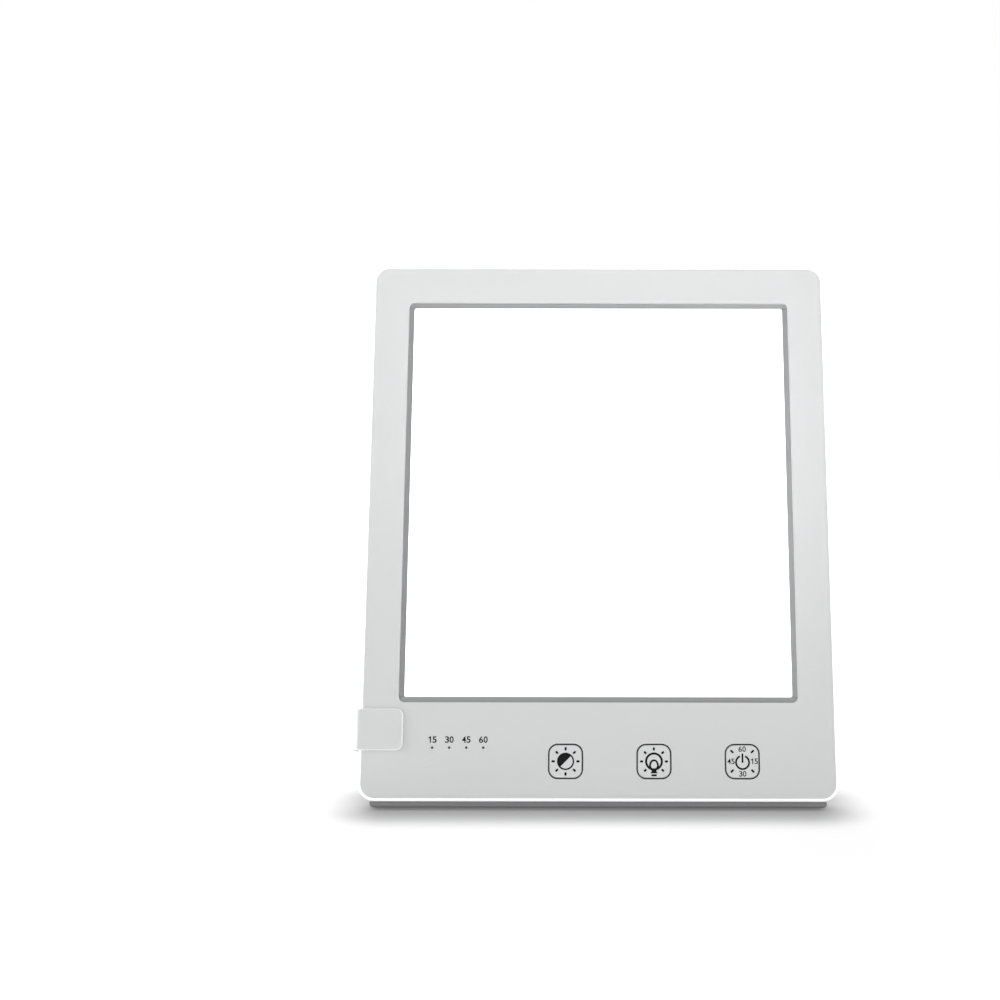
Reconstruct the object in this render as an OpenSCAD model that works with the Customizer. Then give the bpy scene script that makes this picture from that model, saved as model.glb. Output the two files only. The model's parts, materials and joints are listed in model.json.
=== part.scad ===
// Tablet-shaped light therapy lamp: a thin lit panel that leans back on a
// soft base strip and on the leg of a stand that slides over its left edge.
// The panel is drawn upright, front face at y = 0, bottom edge at z = 0, and
// is then leaned back so that the contact face of the base strip is at z = 0.

/* [Panel] */
// Width of the panel
panel_w = 210; // [200:1:230]
// Height of the panel, along its own face
panel_h = 246; // [236:1:270]
// Thickness of the panel
panel_t = 14.5; // [14.2:0.1:17]
// Radius of the panel's four corners, seen from the front
corner_r = 7.5; // [6.5:0.1:10]
// Radius of the edge all round the front face
front_round = 2; // [1.2:0.1:2.4]
// Radius of the edge all round the back
rear_round = 1.2; // [0.6:0.1:1.6]
// Thickness of the shell's side walls
wall_t = 2.2; // [1.8:0.1:2.6]
// Thickness of the shell's front wall
face_t = 2; // [1.8:0.1:2.4]
// Angle that the panel leans back from upright, in degrees
lean = 15; // [12:1:20]

/* [Window] */
// Plain border at each side of the lit window's trim
side_margin = 17; // [15:0.5:19]
// Plain border above the trim
top_margin = 18; // [15:0.5:24]
// Border below the trim, which holds the keys
bottom_margin = 42.8; // [42:0.2:50]
// Width of the trim ring that frames the window
trim_w = 2.4; // [2:0.1:3]
// Outer corner radius of the trim ring
trim_r = 2.6; // [2.5:0.1:4]
// How far the trim's inner edge lies below the face
trim_inset = 0.3; // [0.2:0.1:0.6]
// How far the trim slopes back from its inner to its outer edge
trim_slope = 0.9; // [0.5:0.1:1.1]
// Depth of the trim's inner wall in front of the diffuser
trim_lip = 1; // [0.8:0.1:1.4]
// Width of the flange that holds the trim behind the face
trim_flange = 1.8; // [1.2:0.1:2.4]
// How far the diffuser reaches behind the trim's inner edge
diffuser_hold = 1.1; // [0.8:0.1:1.3]

/* [Optical stack] */
// Thickness of the opal diffuser plate
diffuser_t = 1.5; // [1.2:0.1:1.8]
// Thickness of the diffusion film
film_t = 0.3; // [0.2:0.05:0.4]
// Thickness of the light guide
guide_t = 3; // [2.8:0.1:3.2]
// Thickness of the reflector sheet
reflector_t = 0.3; // [0.2:0.05:0.4]
// Thickness of the aluminium heat plate
plate_t = 1; // [0.8:0.1:1.2]
// How far film, guide and reflector reach past the window on each side
guide_reach = 3.4; // [2.5:0.1:3.8]
// Thickness of the strip that carries the lamps at the guide's edge
strip_t = 1; // [0.8:0.1:1.2]
// Size of one lamp package along the strip
led_l = 3; // [2:0.1:4]
// Size of one lamp package across the strip
led_w = 2.4; // [2:0.1:2.6]
// Height of one lamp package above the strip
led_h = 0.9; // [0.6:0.1:1]
// Distance from one lamp package to the next
led_pitch = 7.5; // [6:0.5:12]

/* [Keys] */
// Width and height of a key cap
key_size = 14.1; // [13:0.1:14.5]
// Corner radius of a key cap
key_r = 3.65; // [3:0.05:4]
// Width of the dark ring round each key
ring_w = 0.5; // [0.4:0.05:0.8]
// Gap between a key cap and its ring
key_gap = 0.15; // [0.1:0.01:0.2]
// Height of the keys' centres above the bottom edge
key_z = 17.2; // [16.5:0.1:18.5]
// Distance from the right key's centre to the panel's right side
key_side = 42.1; // [38:0.1:48]
// Distance from one key's centre to the next
key_pitch = 38.6; // [34:0.1:40]
// How far a key travels when it is pressed
key_travel = 0.35; // [0.25:0.05:0.4]
// How far the lip that keeps a key in its opening reaches past it
key_lip = 0.5; // [0.4:0.1:0.8]
// Thickness of that lip
key_lip_t = 0.6; // [0.5:0.1:0.7]
// Diameter of the post under each key
post_d = 3.2; // [2.4:0.1:4]

/* [Timer lights] */
// Diameter of a timer light's window
pipe_d = 1.2; // [1:0.1:1.6]
// Height of the timer lights above the bottom edge
pipe_z = 23.05; // [21.5:0.1:26]
// Distance from the first timer light to the panel's left side
pipe_side = 32.3; // [30:0.1:36]
// Distance from one timer light to the next
pipe_pitch = 7.45; // [6:0.05:8]

/* [Electronics] */
// Thickness of the control board
board_t = 1.2; // [1:0.1:1.6]
// Height of the control board
board_h = 33; // [32:0.5:34]
// Distance of the control board from the panel's bottom edge
board_z = 6.5; // [6:0.1:7]
// Gap between the control board and the shell's side walls
board_side_gap = 9; // [8:0.5:12]
// Width and height of a key switch
switch_w = 4.5; // [4:0.1:6]
// Height of a key switch above the board
switch_h = 1.3; // [1.1:0.1:1.4]
// Outer width of the power socket
usb_w = 8.94; // [8.9:0.02:9]
// Outer height of the power socket
usb_h = 3.26; // [3.2:0.02:3.3]
// Length of the power socket
usb_l = 7.3; // [6.5:0.1:8]
// Wall of the power socket's metal shell
usb_wall = 0.3; // [0.2:0.05:0.4]
// Height of the power socket's centre above the bottom edge
port_z = 24; // [22:0.5:27]
// Length of the opening round the power socket
port_l = 14.4; // [12:0.2:16]
// Width of the opening round the power socket
port_w = 5.6; // [5.2:0.1:5.6]
// How far the power socket's mouth lies behind the inside of the wall
port_recess = 0.8; // [0.5:0.1:1.2]
// Outer diameter of a lead to the lamp strips
lead_d = 0.9; // [0.7:0.1:1.1]

/* [Back cover] */
// Thickness of the back cover
cover_t = 1.8; // [1.6:0.1:2]
// Dark parting gap between back cover and shell
cover_gap = 0.35; // [0.2:0.05:0.5]
// Width and height of the ledge that the back cover rests on
ledge = 1.5; // [1.3:0.1:1.8]
// Diameter of a vent hole
vent_d = 1.45; // [1.2:0.05:1.8]
// Distance from one vent hole to the next
vent_pitch = 3.13; // [2.8:0.01:3.4]
// Number of vent holes in a row
vent_cols = 15; // [8:1:15]
// Number of rows of vent holes
vent_rows = 6; // [3:1:6]
// Height of the lowest vent row above the bottom edge
vent_z = 11.2; // [10:0.1:14]
// Distance from the outer column of the vent near the socket to the panel's side
vent_right_side = 23.5; // [18:0.1:30]
// Distance from the outer column of the vent behind the clip to the panel's side
vent_left_side = 16.2; // [14:0.1:30]
// Width of a snap hook
hook_w = 8; // [6:0.5:12]
// Thickness of a snap hook
hook_t = 1.3; // [1:0.1:1.6]
// How far a snap hook catches under the ledge
hook_catch = 0.8; // [0.5:0.1:1]

/* [Base strip] */
// How far the base strip stands below the shell
base_drop = 2.5; // [2:0.1:3]
// Distance from the panel's side to the end of the base strip
base_inset = 5.3; // [4:0.1:9]
// Front edge of the base strip, behind the front face
base_front = 2.6; // [2.5:0.1:4]
// Where the flat front part of the base strip's sole ends
base_heel = 9; // [8:0.1:9.5]
// Radius of the base strip's lower ends
base_r = 2.4; // [1:0.1:2.4]
// Width and height of the rib that holds the base strip in the shell
base_rib = 1.2; // [1:0.1:1.4]

/* [Stand] */
// Lower edge of the stand's clip above the panel's bottom edge
clip_z = 21.7; // [20:0.1:26]
// Height of the stand's clip
clip_h = 18.3; // [16:0.1:24]
// How far the clip reaches over the front face
clip_reach = 19.5; // [14:0.5:20]
// Thickness of the clip's front leaf
clip_front_t = 2; // [1.6:0.1:2.5]
// Thickness of the clip beside the panel
clip_side_t = 2.7; // [2.2:0.1:3.5]
// Thickness of the stand's plate behind the panel
plate_back_t = 2.6; // [2.2:0.1:3.5]
// Width of the stand's plate
stand_w = 46; // [40:1:50]
// Distance from the panel's side to the stand's plate
stand_in = 5; // [3:0.5:8]
// Height of the hinge above the panel's bottom edge
hinge_z = 112; // [104:1:116]
// Gap between clip and panel
clip_gap = 0.3; // [0.25:0.05:0.5]
// Outer radius of the clip's fold
clip_fold_r = 4.2; // [3:0.1:4.5]
// Radius of the clip's free corners
clip_r = 3; // [1.5:0.1:4]
// Thickness of the soft pads inside the clip
clip_pad_t = 0.8; // [0.6:0.1:1]
// How far the soft pads stand out of the clip
clip_pad_out = 0.15; // [0.05:0.05:0.2]
// Diameter of the hinge pin
pin_d = 3; // [2.5:0.1:3.2]
// Running clearance of the hinge pin in the leg, on the radius
pin_clear = 0.05; // [0.02:0.01:0.08]
// Radius of the hinge knuckles
knuckle_r = 3.2; // [3:0.1:3.6]
// Gap between the turning knuckle and the stand's plate
knuckle_gap = 0.4; // [0.3:0.05:0.6]
// Gap between the leg's heel and the plate when the leg is open
stop_gap = 0.2; // [0.1:0.05:0.3]
// Length of each of the plate's two knuckles
ear_l = 7; // [6:0.5:9]
// Thickness of a hinge washer
washer_t = 0.6; // [0.4:0.1:0.8]
// Distance on the table from the base strip's contact face to the soft foot
foot_reach = 73.4; // [68:0.2:80]
// Thickness of the leg
leg_t = 3.4; // [3:0.1:4]
// Width of the leg at the foot
leg_foot_w = 44; // [30:1:48]
// Radius of the soft foot
foot_r = 3.2; // [2.8:0.1:4]
// Depth of the flat on the soft foot's sole
foot_flat = 0.3; // [0.2:0.05:0.5]

/* [Hidden] */
// assembly gap between fixed pieces
fit = 0.1;
// a cut reaches this far past the face it opens
over = 1;
// smoothness of every round surface
$fn = 48;

shell_white = [0.93, 0.93, 0.925];
cover_white = [0.86, 0.865, 0.87];
trim_grey = [0.6, 0.605, 0.61];
soft_grey = [0.3, 0.3, 0.31];
near_black = [0.06, 0.06, 0.065];
opal = [0.99, 0.99, 1];
board_green = [0.1, 0.35, 0.2];
metal = [0.78, 0.79, 0.8];

// window, as cut in the face, and as seen inside the trim
window_w = panel_w - 2 * side_margin;
window_h = panel_h - top_margin - bottom_margin;
window_z = bottom_margin + window_h / 2;
view_w = window_w - 2 * trim_w;
view_h = window_h - 2 * trim_w;

// depths of the optical stack, from the front face
diffuser_y = trim_inset + trim_lip;
film_y = diffuser_y + diffuser_t;
guide_y = film_y + film_t;
reflector_y = guide_y + guide_t;
plate_y = reflector_y + reflector_t;
plate_back = plate_y + plate_t;

// sizes of the sheets behind the window
guide_w = view_w + 2 * guide_reach;
guide_h = view_h + 2 * guide_reach;
sheet_r = 1;
led_gap = 0.2;
strip_x = guide_w / 2 + led_gap + led_h;
plate_side_x = strip_x + strip_t;
strip_inset = 3;
strip_l = guide_h - 2 * strip_inset;
led_count = floor((strip_l - led_l) / led_pitch) + 1;
ear_w = 9;
ear_past_screw = 2.9;
screw_from_plate = 4.4;
screw_from_strip_end = 15.6;
screw_x = plate_side_x + plate_t + screw_from_plate;
plate_ear_x = screw_x + ear_past_screw;
plate_screw_rise = strip_l / 2 - screw_from_strip_end;
plate_screw_z = [window_z - plate_screw_rise, window_z, window_z + plate_screw_rise];

// self-tapping screws that hold heat plate and board to the shell
screw_d = 2;
screw_hole_d = 2.2;
screw_head_d = 3.8;
screw_head_t = 1.4;
screw_bite = 3;
drive_l = 2.2;
drive_w = 0.5;
drive_depth = 0.6;
boss_d = 5;

// power socket on the back of the board, opening through the right wall
wall_in_x = panel_w / 2 - wall_t;
port_face_x = wall_in_x - port_recess;
port_y = plate_y + usb_h / 2;
port_r = 1.2;
usb_r = usb_h / 2 - 0.03;
usb_back_t = 1;
tongue_t = 0.7;
tongue_w = 6.6;
tongue_short = 0.8;
surround_t = 1.2;
surround_border = 1.5;
surround_edge = 0.4;
surround_front = port_y - port_w / 2 - surround_edge;

// board and what stands on it
board_y = plate_y - board_t;
board_back = board_y + board_t;
board_left = -wall_in_x + board_side_gap;
board_right = port_face_x - surround_t - 2 * fit;
board_corner_r = 1.5;
board_screw_left = 4;
board_screw_right = 10.4;
board_screw_low = 3.4;
board_screw_high = 5;
board_screw_x = [board_left + board_screw_left, board_right - board_screw_right];
board_screw_z = [board_z + board_screw_low, board_z + board_h - board_screw_high];
switch_y = board_y - switch_h;
dome_d = 2.4;
dome_t = 0.2;

// parts on the back of the board: distance in from its right end, height above
// its lower edge, width, height and thickness
chip_in = 93.6;
chip_up = 12;
chip_w = 6;
chip_t = 1;
coil_in = 38.6;
coil_up = 22;
coil_w = 7;
coil_r = 1.2;
coil_t = 3;
cap_in = 48;
cap_up = 21.2;
cap_pitch = 5;
cap_w = 3.2;
cap_h = 2.5;
cap_t = 1.6;
small_cap_in = 86.8;
small_cap_up = 19.4;
small_cap_w = 1.6;
small_cap_h = 0.8;

// the two sockets for the leads to the lamp strips, and the leads' bends
lead_socket_from_strip = 14.1;
lead_socket_x = strip_x - lead_socket_from_strip;
lead_pitch = 3;
lead_rise = 1.6;
lead_step = 1;
lead_first_y = 0.6;
lead_spread = 1.6;
lead_socket_w = 6;
lead_socket_h = 3.6;
lead_socket_t = 2.2;
lead_socket_in = 0.5;

// keys, from left to right
key_x = [for (i = [2:-1:0]) panel_w / 2 - key_side - i * key_pitch];
key_opening = key_size + 2 * (key_gap + ring_w);
key_lip_y = face_t + fit;
key_back = key_lip_y + key_lip_t;
ring_front = 0.1;
ring_short = 0.4;
ring_back = face_t - ring_short;
post_room = 0.15;
post_tip = switch_y - dome_t - key_travel - post_room;

// timer lights, from left to right
timer_x = [for (i = [0:3]) -panel_w / 2 + pipe_side + i * pipe_pitch];
timer_led_t = 0.6;
timer_led_w = 1.6;
timer_led_h = 0.8;

// back cover and what holds it
cover_y = panel_t - cover_t;
ledge_y = cover_y - ledge;
cover_w = panel_w - 2 * (wall_t + cover_gap);
cover_h = panel_h - 2 * (wall_t + cover_gap);
cover_r = corner_r - wall_t - cover_gap;
hook_inset = wall_t + ledge + fit;
hook_tail = 2.2;
hook_len = ledge + hook_tail;
catch_t = 0.7;
hook_from_bottom = 42;
hook_from_top = 38;
hook_from_side = 33;
hook_off_middle = 4;
hook_side_z = [hook_from_bottom, window_z, panel_h - hook_from_top];
hook_end_x = [hook_from_side - panel_w / 2, -hook_off_middle, panel_w / 2 - hook_from_side];
rib_t = 1.2;
rib_h = 2;
vent_w = (vent_cols - 1) * vent_pitch;
vent_h = (vent_rows - 1) * vent_pitch;
vent_right_x = panel_w / 2 - vent_right_side - vent_w;
vent_left_x = panel_w / 2 - vent_left_side - vent_w;
screen_t = 0.3;
screen_border = 2.2;

// base strip: its rear part is cut to lie flat on the table
base_behind = 0.6;
base_back = panel_t - rear_round - base_behind;
contact_y = (base_heel + base_back) / 2;
contact_z = -base_drop + (contact_y - base_heel) * tan(lean);
base_back_z = -base_drop + (base_back - base_heel) * tan(lean);
rib_y = (base_front + base_back) / 2;
base_l = panel_w - 2 * base_inset;
base_rib_in = 6;
base_rib_l = base_l - 2 * base_rib_in;

// stand
clip_x = -panel_w / 2 - clip_gap - clip_side_t;
clip_mid_z = clip_z + clip_h / 2;
stand_y = panel_t + clip_gap;
stand_back = stand_y + plate_back_t;
stand_left = -panel_w / 2 + stand_in;
stand_right = stand_left + stand_w;
plate_past_hinge = 2;
stand_top = hinge_z + knuckle_r + plate_past_hinge;
stand_r = 6;
hinge_y = stand_back + knuckle_gap + knuckle_r;
hinge_in = 2;
hinge_left = stand_left + hinge_in;
hinge_right = stand_right - hinge_in;
washer_gap = 0.05;
washer_short = 0.3;
washer_d = 2 * (knuckle_r - washer_short);
leg_left = hinge_left + ear_l + washer_t + 2 * washer_gap;
leg_right = hinge_right - ear_l - washer_t - 2 * washer_gap;
leg_x = (leg_left + leg_right) / 2;
leg_w = leg_right - leg_left;
pin_head_d = 4.6;
pin_head_t = 1.2;
leg_shoulder = 16;
clip_side_r = 1.6;
pad_edge = 2.5;
pad_from_fold = 5.5;
pad_rear_edge = 8;

// hinge axis after the panel is leaned, and the leg's drop from level and length
hinge_wy = cos(lean) * (hinge_y - contact_y) + sin(lean) * (hinge_z - contact_z);
hinge_wz = cos(lean) * (hinge_z - contact_z) - sin(lean) * (hinge_y - contact_y);
leg_rise = hinge_wz - foot_r + foot_flat;
leg_drop = atan2(leg_rise, foot_reach - hinge_wy);
leg_l = leg_rise / sin(leg_drop);
// angle between the open leg and the panel's back
leg_open = 90 + lean - leg_drop;
// the heel above the hinge meets the plate when the leg is open
heel_l = (hinge_y - stand_back - stop_gap - leg_t / 2 * cos(leg_open)) / sin(leg_open);

// ---- helpers -------------------------------------------------------------

// leans a panel drawn upright back onto its base strip
module leaned() {
    rotate([-lean, 0, 0])
        translate([0, -contact_y, -contact_z])
            children();
}

// turns a plan (x, height) extruded by depth into the upright panel
module upright() {
    rotate([90, 0, 0])
        mirror([0, 0, 1])
            children();
}

// a plan shape as a slab from one depth to another
module slab(from_y, to_y) {
    upright()
        translate([0, 0, from_y])
            linear_extrude(to_y - from_y)
                children();
}

// rectangle with round corners, centred on (x, z)
module round_rect(w, h, r, x = 0, z = 0) {
    translate([x, z]) {
        square([w - 2 * r, h], center = true);
        square([w, h - 2 * r], center = true);
        for (sx = [-1, 1], sz = [-1, 1])
            translate([sx * (w / 2 - r), sz * (h / 2 - r)])
                circle(r);
    }
}

// square block from one corner to the other
module block(low, high) {
    translate(low)
        cube(high - low);
}

// cylinder along the depth axis
module rod_y(x, z, d, from_y, to_y) {
    translate([x, from_y, z])
        rotate([-90, 0, 0])
            cylinder(d = d, h = to_y - from_y);
}

// cylinder along the width axis
module rod_x(y, z, d, from_x, to_x) {
    translate([from_x, y, z])
        rotate([0, 90, 0])
            cylinder(d = d, h = to_x - from_x);
}

// half of the panel's cross-section, from its middle out to half its width
module edge_section(half) {
    translate([0, front_round])
        square([half, panel_t - front_round - rear_round]);
    square([half - front_round, front_round + over]);
    translate([0, panel_t - rear_round - over])
        square([half - rear_round, rear_round + over]);
    translate([half - front_round, front_round])
        circle(front_round);
    translate([half - rear_round, panel_t - rear_round])
        circle(rear_round);
}

// the panel's outer form, with its round front and rear edges
module panel_form() {
    upright() {
        for (sx = [-1, 1], z = [corner_r, panel_h - corner_r])
            translate([sx * (panel_w / 2 - corner_r), z, 0])
                rotate_extrude()
                    intersection() {
                        edge_section(corner_r);
                        square([corner_r, panel_t]);
                    }
        for (turn = [0, 1])
            mirror([turn, 0, 0])
                translate([0, panel_h - corner_r, 0])
                    rotate([90, 0, 0])
                        linear_extrude(panel_h - 2 * corner_r)
                            edge_section(panel_w / 2);
        for (turn = [0, 1])
            translate([0, panel_h / 2, 0])
                mirror([0, turn, 0])
                    translate([-panel_w / 2 + corner_r, 0, 0])
                        rotate([90, 0, 90])
                            linear_extrude(panel_w - 2 * corner_r)
                                edge_section(panel_h / 2);
    }
}

// the shell's inside, from one depth to another, at a distance from the outline
module inside(from_y, to_y, inset) {
    slab(from_y, to_y)
        round_rect(panel_w - 2 * inset, panel_h - 2 * inset, corner_r - inset, 0, panel_h / 2);
}

// one piece at each of the shell's screw places
module at_plate_screws() {
    for (sx = [-1, 1], z = plate_screw_z)
        translate([sx * screw_x, 0, z])
            children();
}

module at_board_screws() {
    for (x = board_screw_x, z = board_screw_z)
        translate([x, 0, z])
            children();
}

// screw whose head lies on a face at the depth under_head
module screw(under_head, grip) {
    rod_y(0, 0, screw_d, under_head - grip - screw_bite, under_head);
    difference() {
        rod_y(0, 0, screw_head_d, under_head, under_head + screw_head_t);
        for (turn = [0, 90])
            translate([0, under_head + screw_head_t, 0])
                rotate([0, turn, 0])
                    cube([drive_l, 2 * drive_depth, drive_w], center = true);
    }
}

// ---- panel ---------------------------------------------------------------

module front_shell() color(shell_white) leaned() {
    difference() {
        union() {
            difference() {
                panel_form();
                inside(face_t, ledge_y, wall_t);
                inside(ledge_y - over / 2, cover_y, wall_t + ledge);
                inside(cover_y - over / 2, panel_t + over, wall_t);
            }
            at_plate_screws()
                rod_y(0, 0, boss_d, face_t - over / 2, plate_y);
            at_board_screws()
                rod_y(0, 0, boss_d, face_t - over / 2, board_y);
        }
        slab(-over, face_t + over / 2)
            round_rect(window_w, window_h, trim_r, 0, window_z);
        for (x = key_x)
            slab(-over, face_t + over / 2)
                round_rect(key_opening, key_opening, key_r + key_gap + ring_w, x, key_z);
        for (x = timer_x)
            rod_y(x, pipe_z, pipe_d, -over, face_t + over / 2);
        at_plate_screws()
            rod_y(0, 0, screw_d, plate_y - screw_bite - fit, plate_y + over);
        at_board_screws()
            rod_y(0, 0, screw_d, board_y - screw_bite - fit, board_y + over);
        port_opening(port_face_x - over, panel_w / 2 + over);
        block([-base_rib_l / 2, rib_y - base_rib / 2, -over],
            [base_rib_l / 2, rib_y + base_rib / 2, base_rib]);
    }
}

module port_opening(from_x, to_x) {
    translate([from_x, port_y, port_z])
        rotate([90, 0, 90])
            linear_extrude(to_x - from_x)
                round_rect(port_w, port_l, port_r);
}

module window_trim() color(trim_grey) leaned() {
    difference() {
        union() {
            slab(trim_inset, film_y)
                round_rect(window_w - fit, window_h - fit, trim_r - fit / 2, 0, window_z);
            slab(face_t, film_y)
                round_rect(window_w + 2 * trim_flange, window_h + 2 * trim_flange, trim_r, 0, window_z);
        }
        slab(-over, film_y + over)
            round_rect(view_w, view_h, sheet_r, 0, window_z);
        slab(diffuser_y, film_y + over)
            round_rect(view_w + 2 * diffuser_hold, view_h + 2 * diffuser_hold, sheet_r, 0, window_z);
        trim_bevel(window_w - fit, window_z, window_h + 2 * over, 0);
        trim_bevel(window_h - fit, window_z, window_w + 2 * over, 90);
    }
}

// the wedge that slopes a pair of the trim's sides back to their outer edges
module trim_bevel(across, middle_z, length, turn) {
    for (side = [0, 180])
        translate([0, 0, middle_z])
            rotate([0, turn + side, 0])
                translate([across / 2, 0, -length / 2])
                    linear_extrude(length)
                        polygon([[-trim_w + fit, trim_inset], [-trim_w + fit, -over],
                            [over, -over], [over, trim_inset + trim_slope],
                            [0, trim_inset + trim_slope]]);
}

module diffuser_plate() color(opal) leaned()
    slab(diffuser_y, film_y)
        round_rect(view_w + 2 * (diffuser_hold - fit), view_h + 2 * (diffuser_hold - fit),
            sheet_r, 0, window_z);

module diffusion_film() color([0.97, 0.97, 0.98]) leaned()
    slab(film_y, guide_y)
        round_rect(guide_w, guide_h, sheet_r, 0, window_z);

module light_guide() color([0.93, 0.96, 0.99]) leaned()
    slab(guide_y, reflector_y)
        round_rect(guide_w, guide_h, sheet_r, 0, window_z);

module reflector_sheet() color([0.96, 0.96, 0.95]) leaned()
    slab(reflector_y, plate_y)
        round_rect(guide_w, guide_h, sheet_r, 0, window_z);

module heat_plate() color(metal) leaned() {
    plate_low = window_z - guide_h / 2;
    plate_high = window_z + guide_h / 2;
    difference() {
        union() {
            block([-plate_side_x - plate_t, plate_y, plate_low],
                [plate_side_x + plate_t, plate_back, plate_high]);
            for (sx = [0, 1])
                mirror([sx, 0, 0]) {
                    block([plate_side_x, guide_y, plate_low + strip_inset],
                        [plate_side_x + plate_t, plate_back, plate_high - strip_inset]);
                    for (z = plate_screw_z)
                        block([plate_side_x, plate_y, z - ear_w / 2],
                            [plate_ear_x, plate_back, z + ear_w / 2]);
                }
        }
        at_plate_screws()
            rod_y(0, 0, screw_hole_d, plate_y - over, plate_back + over);
    }
}

module led_strip(side) color([0.95, 0.95, 0.93]) leaned()
    mirror([side < 0 ? 1 : 0, 0, 0])
        block([strip_x, guide_y, window_z - strip_l / 2],
            [plate_side_x, reflector_y, window_z + strip_l / 2]);

module leds(side) color([1, 0.93, 0.6]) leaned()
    mirror([side < 0 ? 1 : 0, 0, 0])
        for (i = [0:led_count - 1])
            translate([strip_x - led_h / 2, guide_y + guide_t / 2,
                window_z + (i - (led_count - 1) / 2) * led_pitch])
                cube([led_h, led_w, led_l], center = true);

module led_strip_left() led_strip(-1);
module led_strip_right() led_strip(1);
module leds_left() leds(-1);
module leds_right() leds(1);

module heat_plate_screws() color(metal) leaned()
    at_plate_screws()
        screw(plate_back, plate_t);

// ---- control board -------------------------------------------------------

module control_board() color(board_green) leaned()
    difference() {
        slab(board_y, board_back)
            round_rect(board_right - board_left, board_h, board_corner_r,
                (board_left + board_right) / 2, board_z + board_h / 2);
        at_board_screws()
            rod_y(0, 0, screw_hole_d, board_y - over, board_back + over);
    }

module board_screws() color(metal) leaned()
    at_board_screws()
        screw(board_back, board_t);

module tact_switches() color(metal) leaned()
    for (x = key_x) {
        block([x - switch_w / 2, switch_y, key_z - switch_w / 2],
            [x + switch_w / 2, board_y, key_z + switch_w / 2]);
        rod_y(x, key_z, dome_d, switch_y - dome_t, switch_y + dome_t);
    }

module key_rings() color(near_black) leaned()
    for (x = key_x)
        slab(ring_front, ring_back)
            difference() {
                round_rect(key_opening, key_opening, key_r + key_gap + ring_w, x, key_z);
                round_rect(key_size + 2 * key_gap, key_size + 2 * key_gap, key_r + key_gap, x, key_z);
            }

// cap with the lip that stays behind the face
module key_cap(x) color(shell_white) leaned() {
    slab(0, key_back)
        round_rect(key_size, key_size, key_r, x, key_z);
    slab(key_lip_y, key_back)
        round_rect(key_opening + 2 * key_lip, key_opening + 2 * key_lip, key_r + key_lip, x, key_z);
}

// post that presses the switch
module key_post(x) color(soft_grey) leaned()
    rod_y(x, key_z, post_d, key_back, post_tip);

module key_brightness() key_cap(key_x[0]);
module key_colour() key_cap(key_x[1]);
module key_power() key_cap(key_x[2]);
module post_brightness() key_post(key_x[0]);
module post_colour() key_post(key_x[1]);
module post_power() key_post(key_x[2]);

module timer_light_pipes() color(near_black) leaned()
    for (x = timer_x)
        rod_y(x, pipe_z, pipe_d, 0, board_y - timer_led_t - fit);

module timer_leds() color([0.9, 0.85, 0.5]) leaned()
    for (x = timer_x)
        block([x - timer_led_w / 2, board_y - timer_led_t, pipe_z - timer_led_h / 2],
            [x + timer_led_w / 2, board_y, pipe_z + timer_led_h / 2]);

// square part on the back of the board, in from its right end and up from its edge
module board_part(in, up, w, h, t) {
    x = board_right - in;
    z = board_z + up;
    block([x - w / 2, board_back, z - h / 2], [x + w / 2, board_back + t, z + h / 2]);
}

module controller_chip() color(near_black) leaned()
    board_part(chip_in, chip_up, chip_w, chip_w, chip_t);

module driver_coil() color([0.3, 0.3, 0.32]) leaned()
    slab(board_back, board_back + coil_t)
        round_rect(coil_w, coil_w, coil_r, board_right - coil_in, board_z + coil_up);

module capacitors() color([0.75, 0.6, 0.45]) leaned() {
    for (i = [0:2])
        board_part(cap_in + i * cap_pitch, cap_up, cap_w, cap_h, cap_t);
    for (i = [0:3])
        board_part(small_cap_in + i * cap_pitch, small_cap_up, small_cap_w, small_cap_h, small_cap_h);
}

module lead_connectors() color([0.92, 0.9, 0.84]) leaned()
    for (sx = [-1, 1])
        block([sx * lead_socket_x - lead_socket_w / 2, board_back,
                board_z + board_h - lead_socket_h - lead_socket_in],
            [sx * lead_socket_x + lead_socket_w / 2, board_back + lead_socket_t,
                board_z + board_h - lead_socket_in]);

// lead along a list of points, round enough for so thin a wire
module lead(points) {
    for (i = [0:len(points) - 2])
        hull()
            for (end = [points[i], points[i + 1]])
                translate(end)
                    sphere(d = lead_d, $fn = 8);
}

module led_leads() color([0.8, 0.1, 0.1]) leaned() {
    strip_low = window_z - strip_l / 2 - lead_d / 2;
    bend_z = window_z - guide_h / 2 - lead_step;
    socket_top = board_z + board_h - lead_socket_in + lead_d / 2;
    strip_mid = (strip_x + plate_side_x) / 2;
    for (side = [-1, 1], i = [0, 1]) {
        start_x = side * (lead_socket_x + (i - 0.5) * lead_pitch);
        end_y = guide_y + lead_first_y + lead_spread * i;
        lead([[start_x, board_back + lead_socket_t / 2, socket_top],
            [start_x, board_back + lead_socket_t / 2, socket_top + lead_rise - lead_step * i],
            [side * strip_mid, end_y, bend_z],
            [side * strip_mid, end_y, strip_low]]);
    }
}

module usb_socket() color(metal) leaned()
    translate([port_face_x - usb_l, port_y, port_z])
        rotate([90, 0, 90])
            difference() {
                linear_extrude(usb_l)
                    round_rect(usb_h, usb_w, usb_r);
                translate([0, 0, usb_back_t])
                    linear_extrude(usb_l)
                        round_rect(usb_h - 2 * usb_wall, usb_w - 2 * usb_wall,
                            usb_r - usb_wall);
            }

module usb_tongue() color(near_black) leaned()
    block([port_face_x - usb_l + usb_back_t, port_y - tongue_t / 2, port_z - tongue_w / 2],
        [port_face_x - tongue_short, port_y + tongue_t / 2, port_z + tongue_w / 2]);

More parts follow.
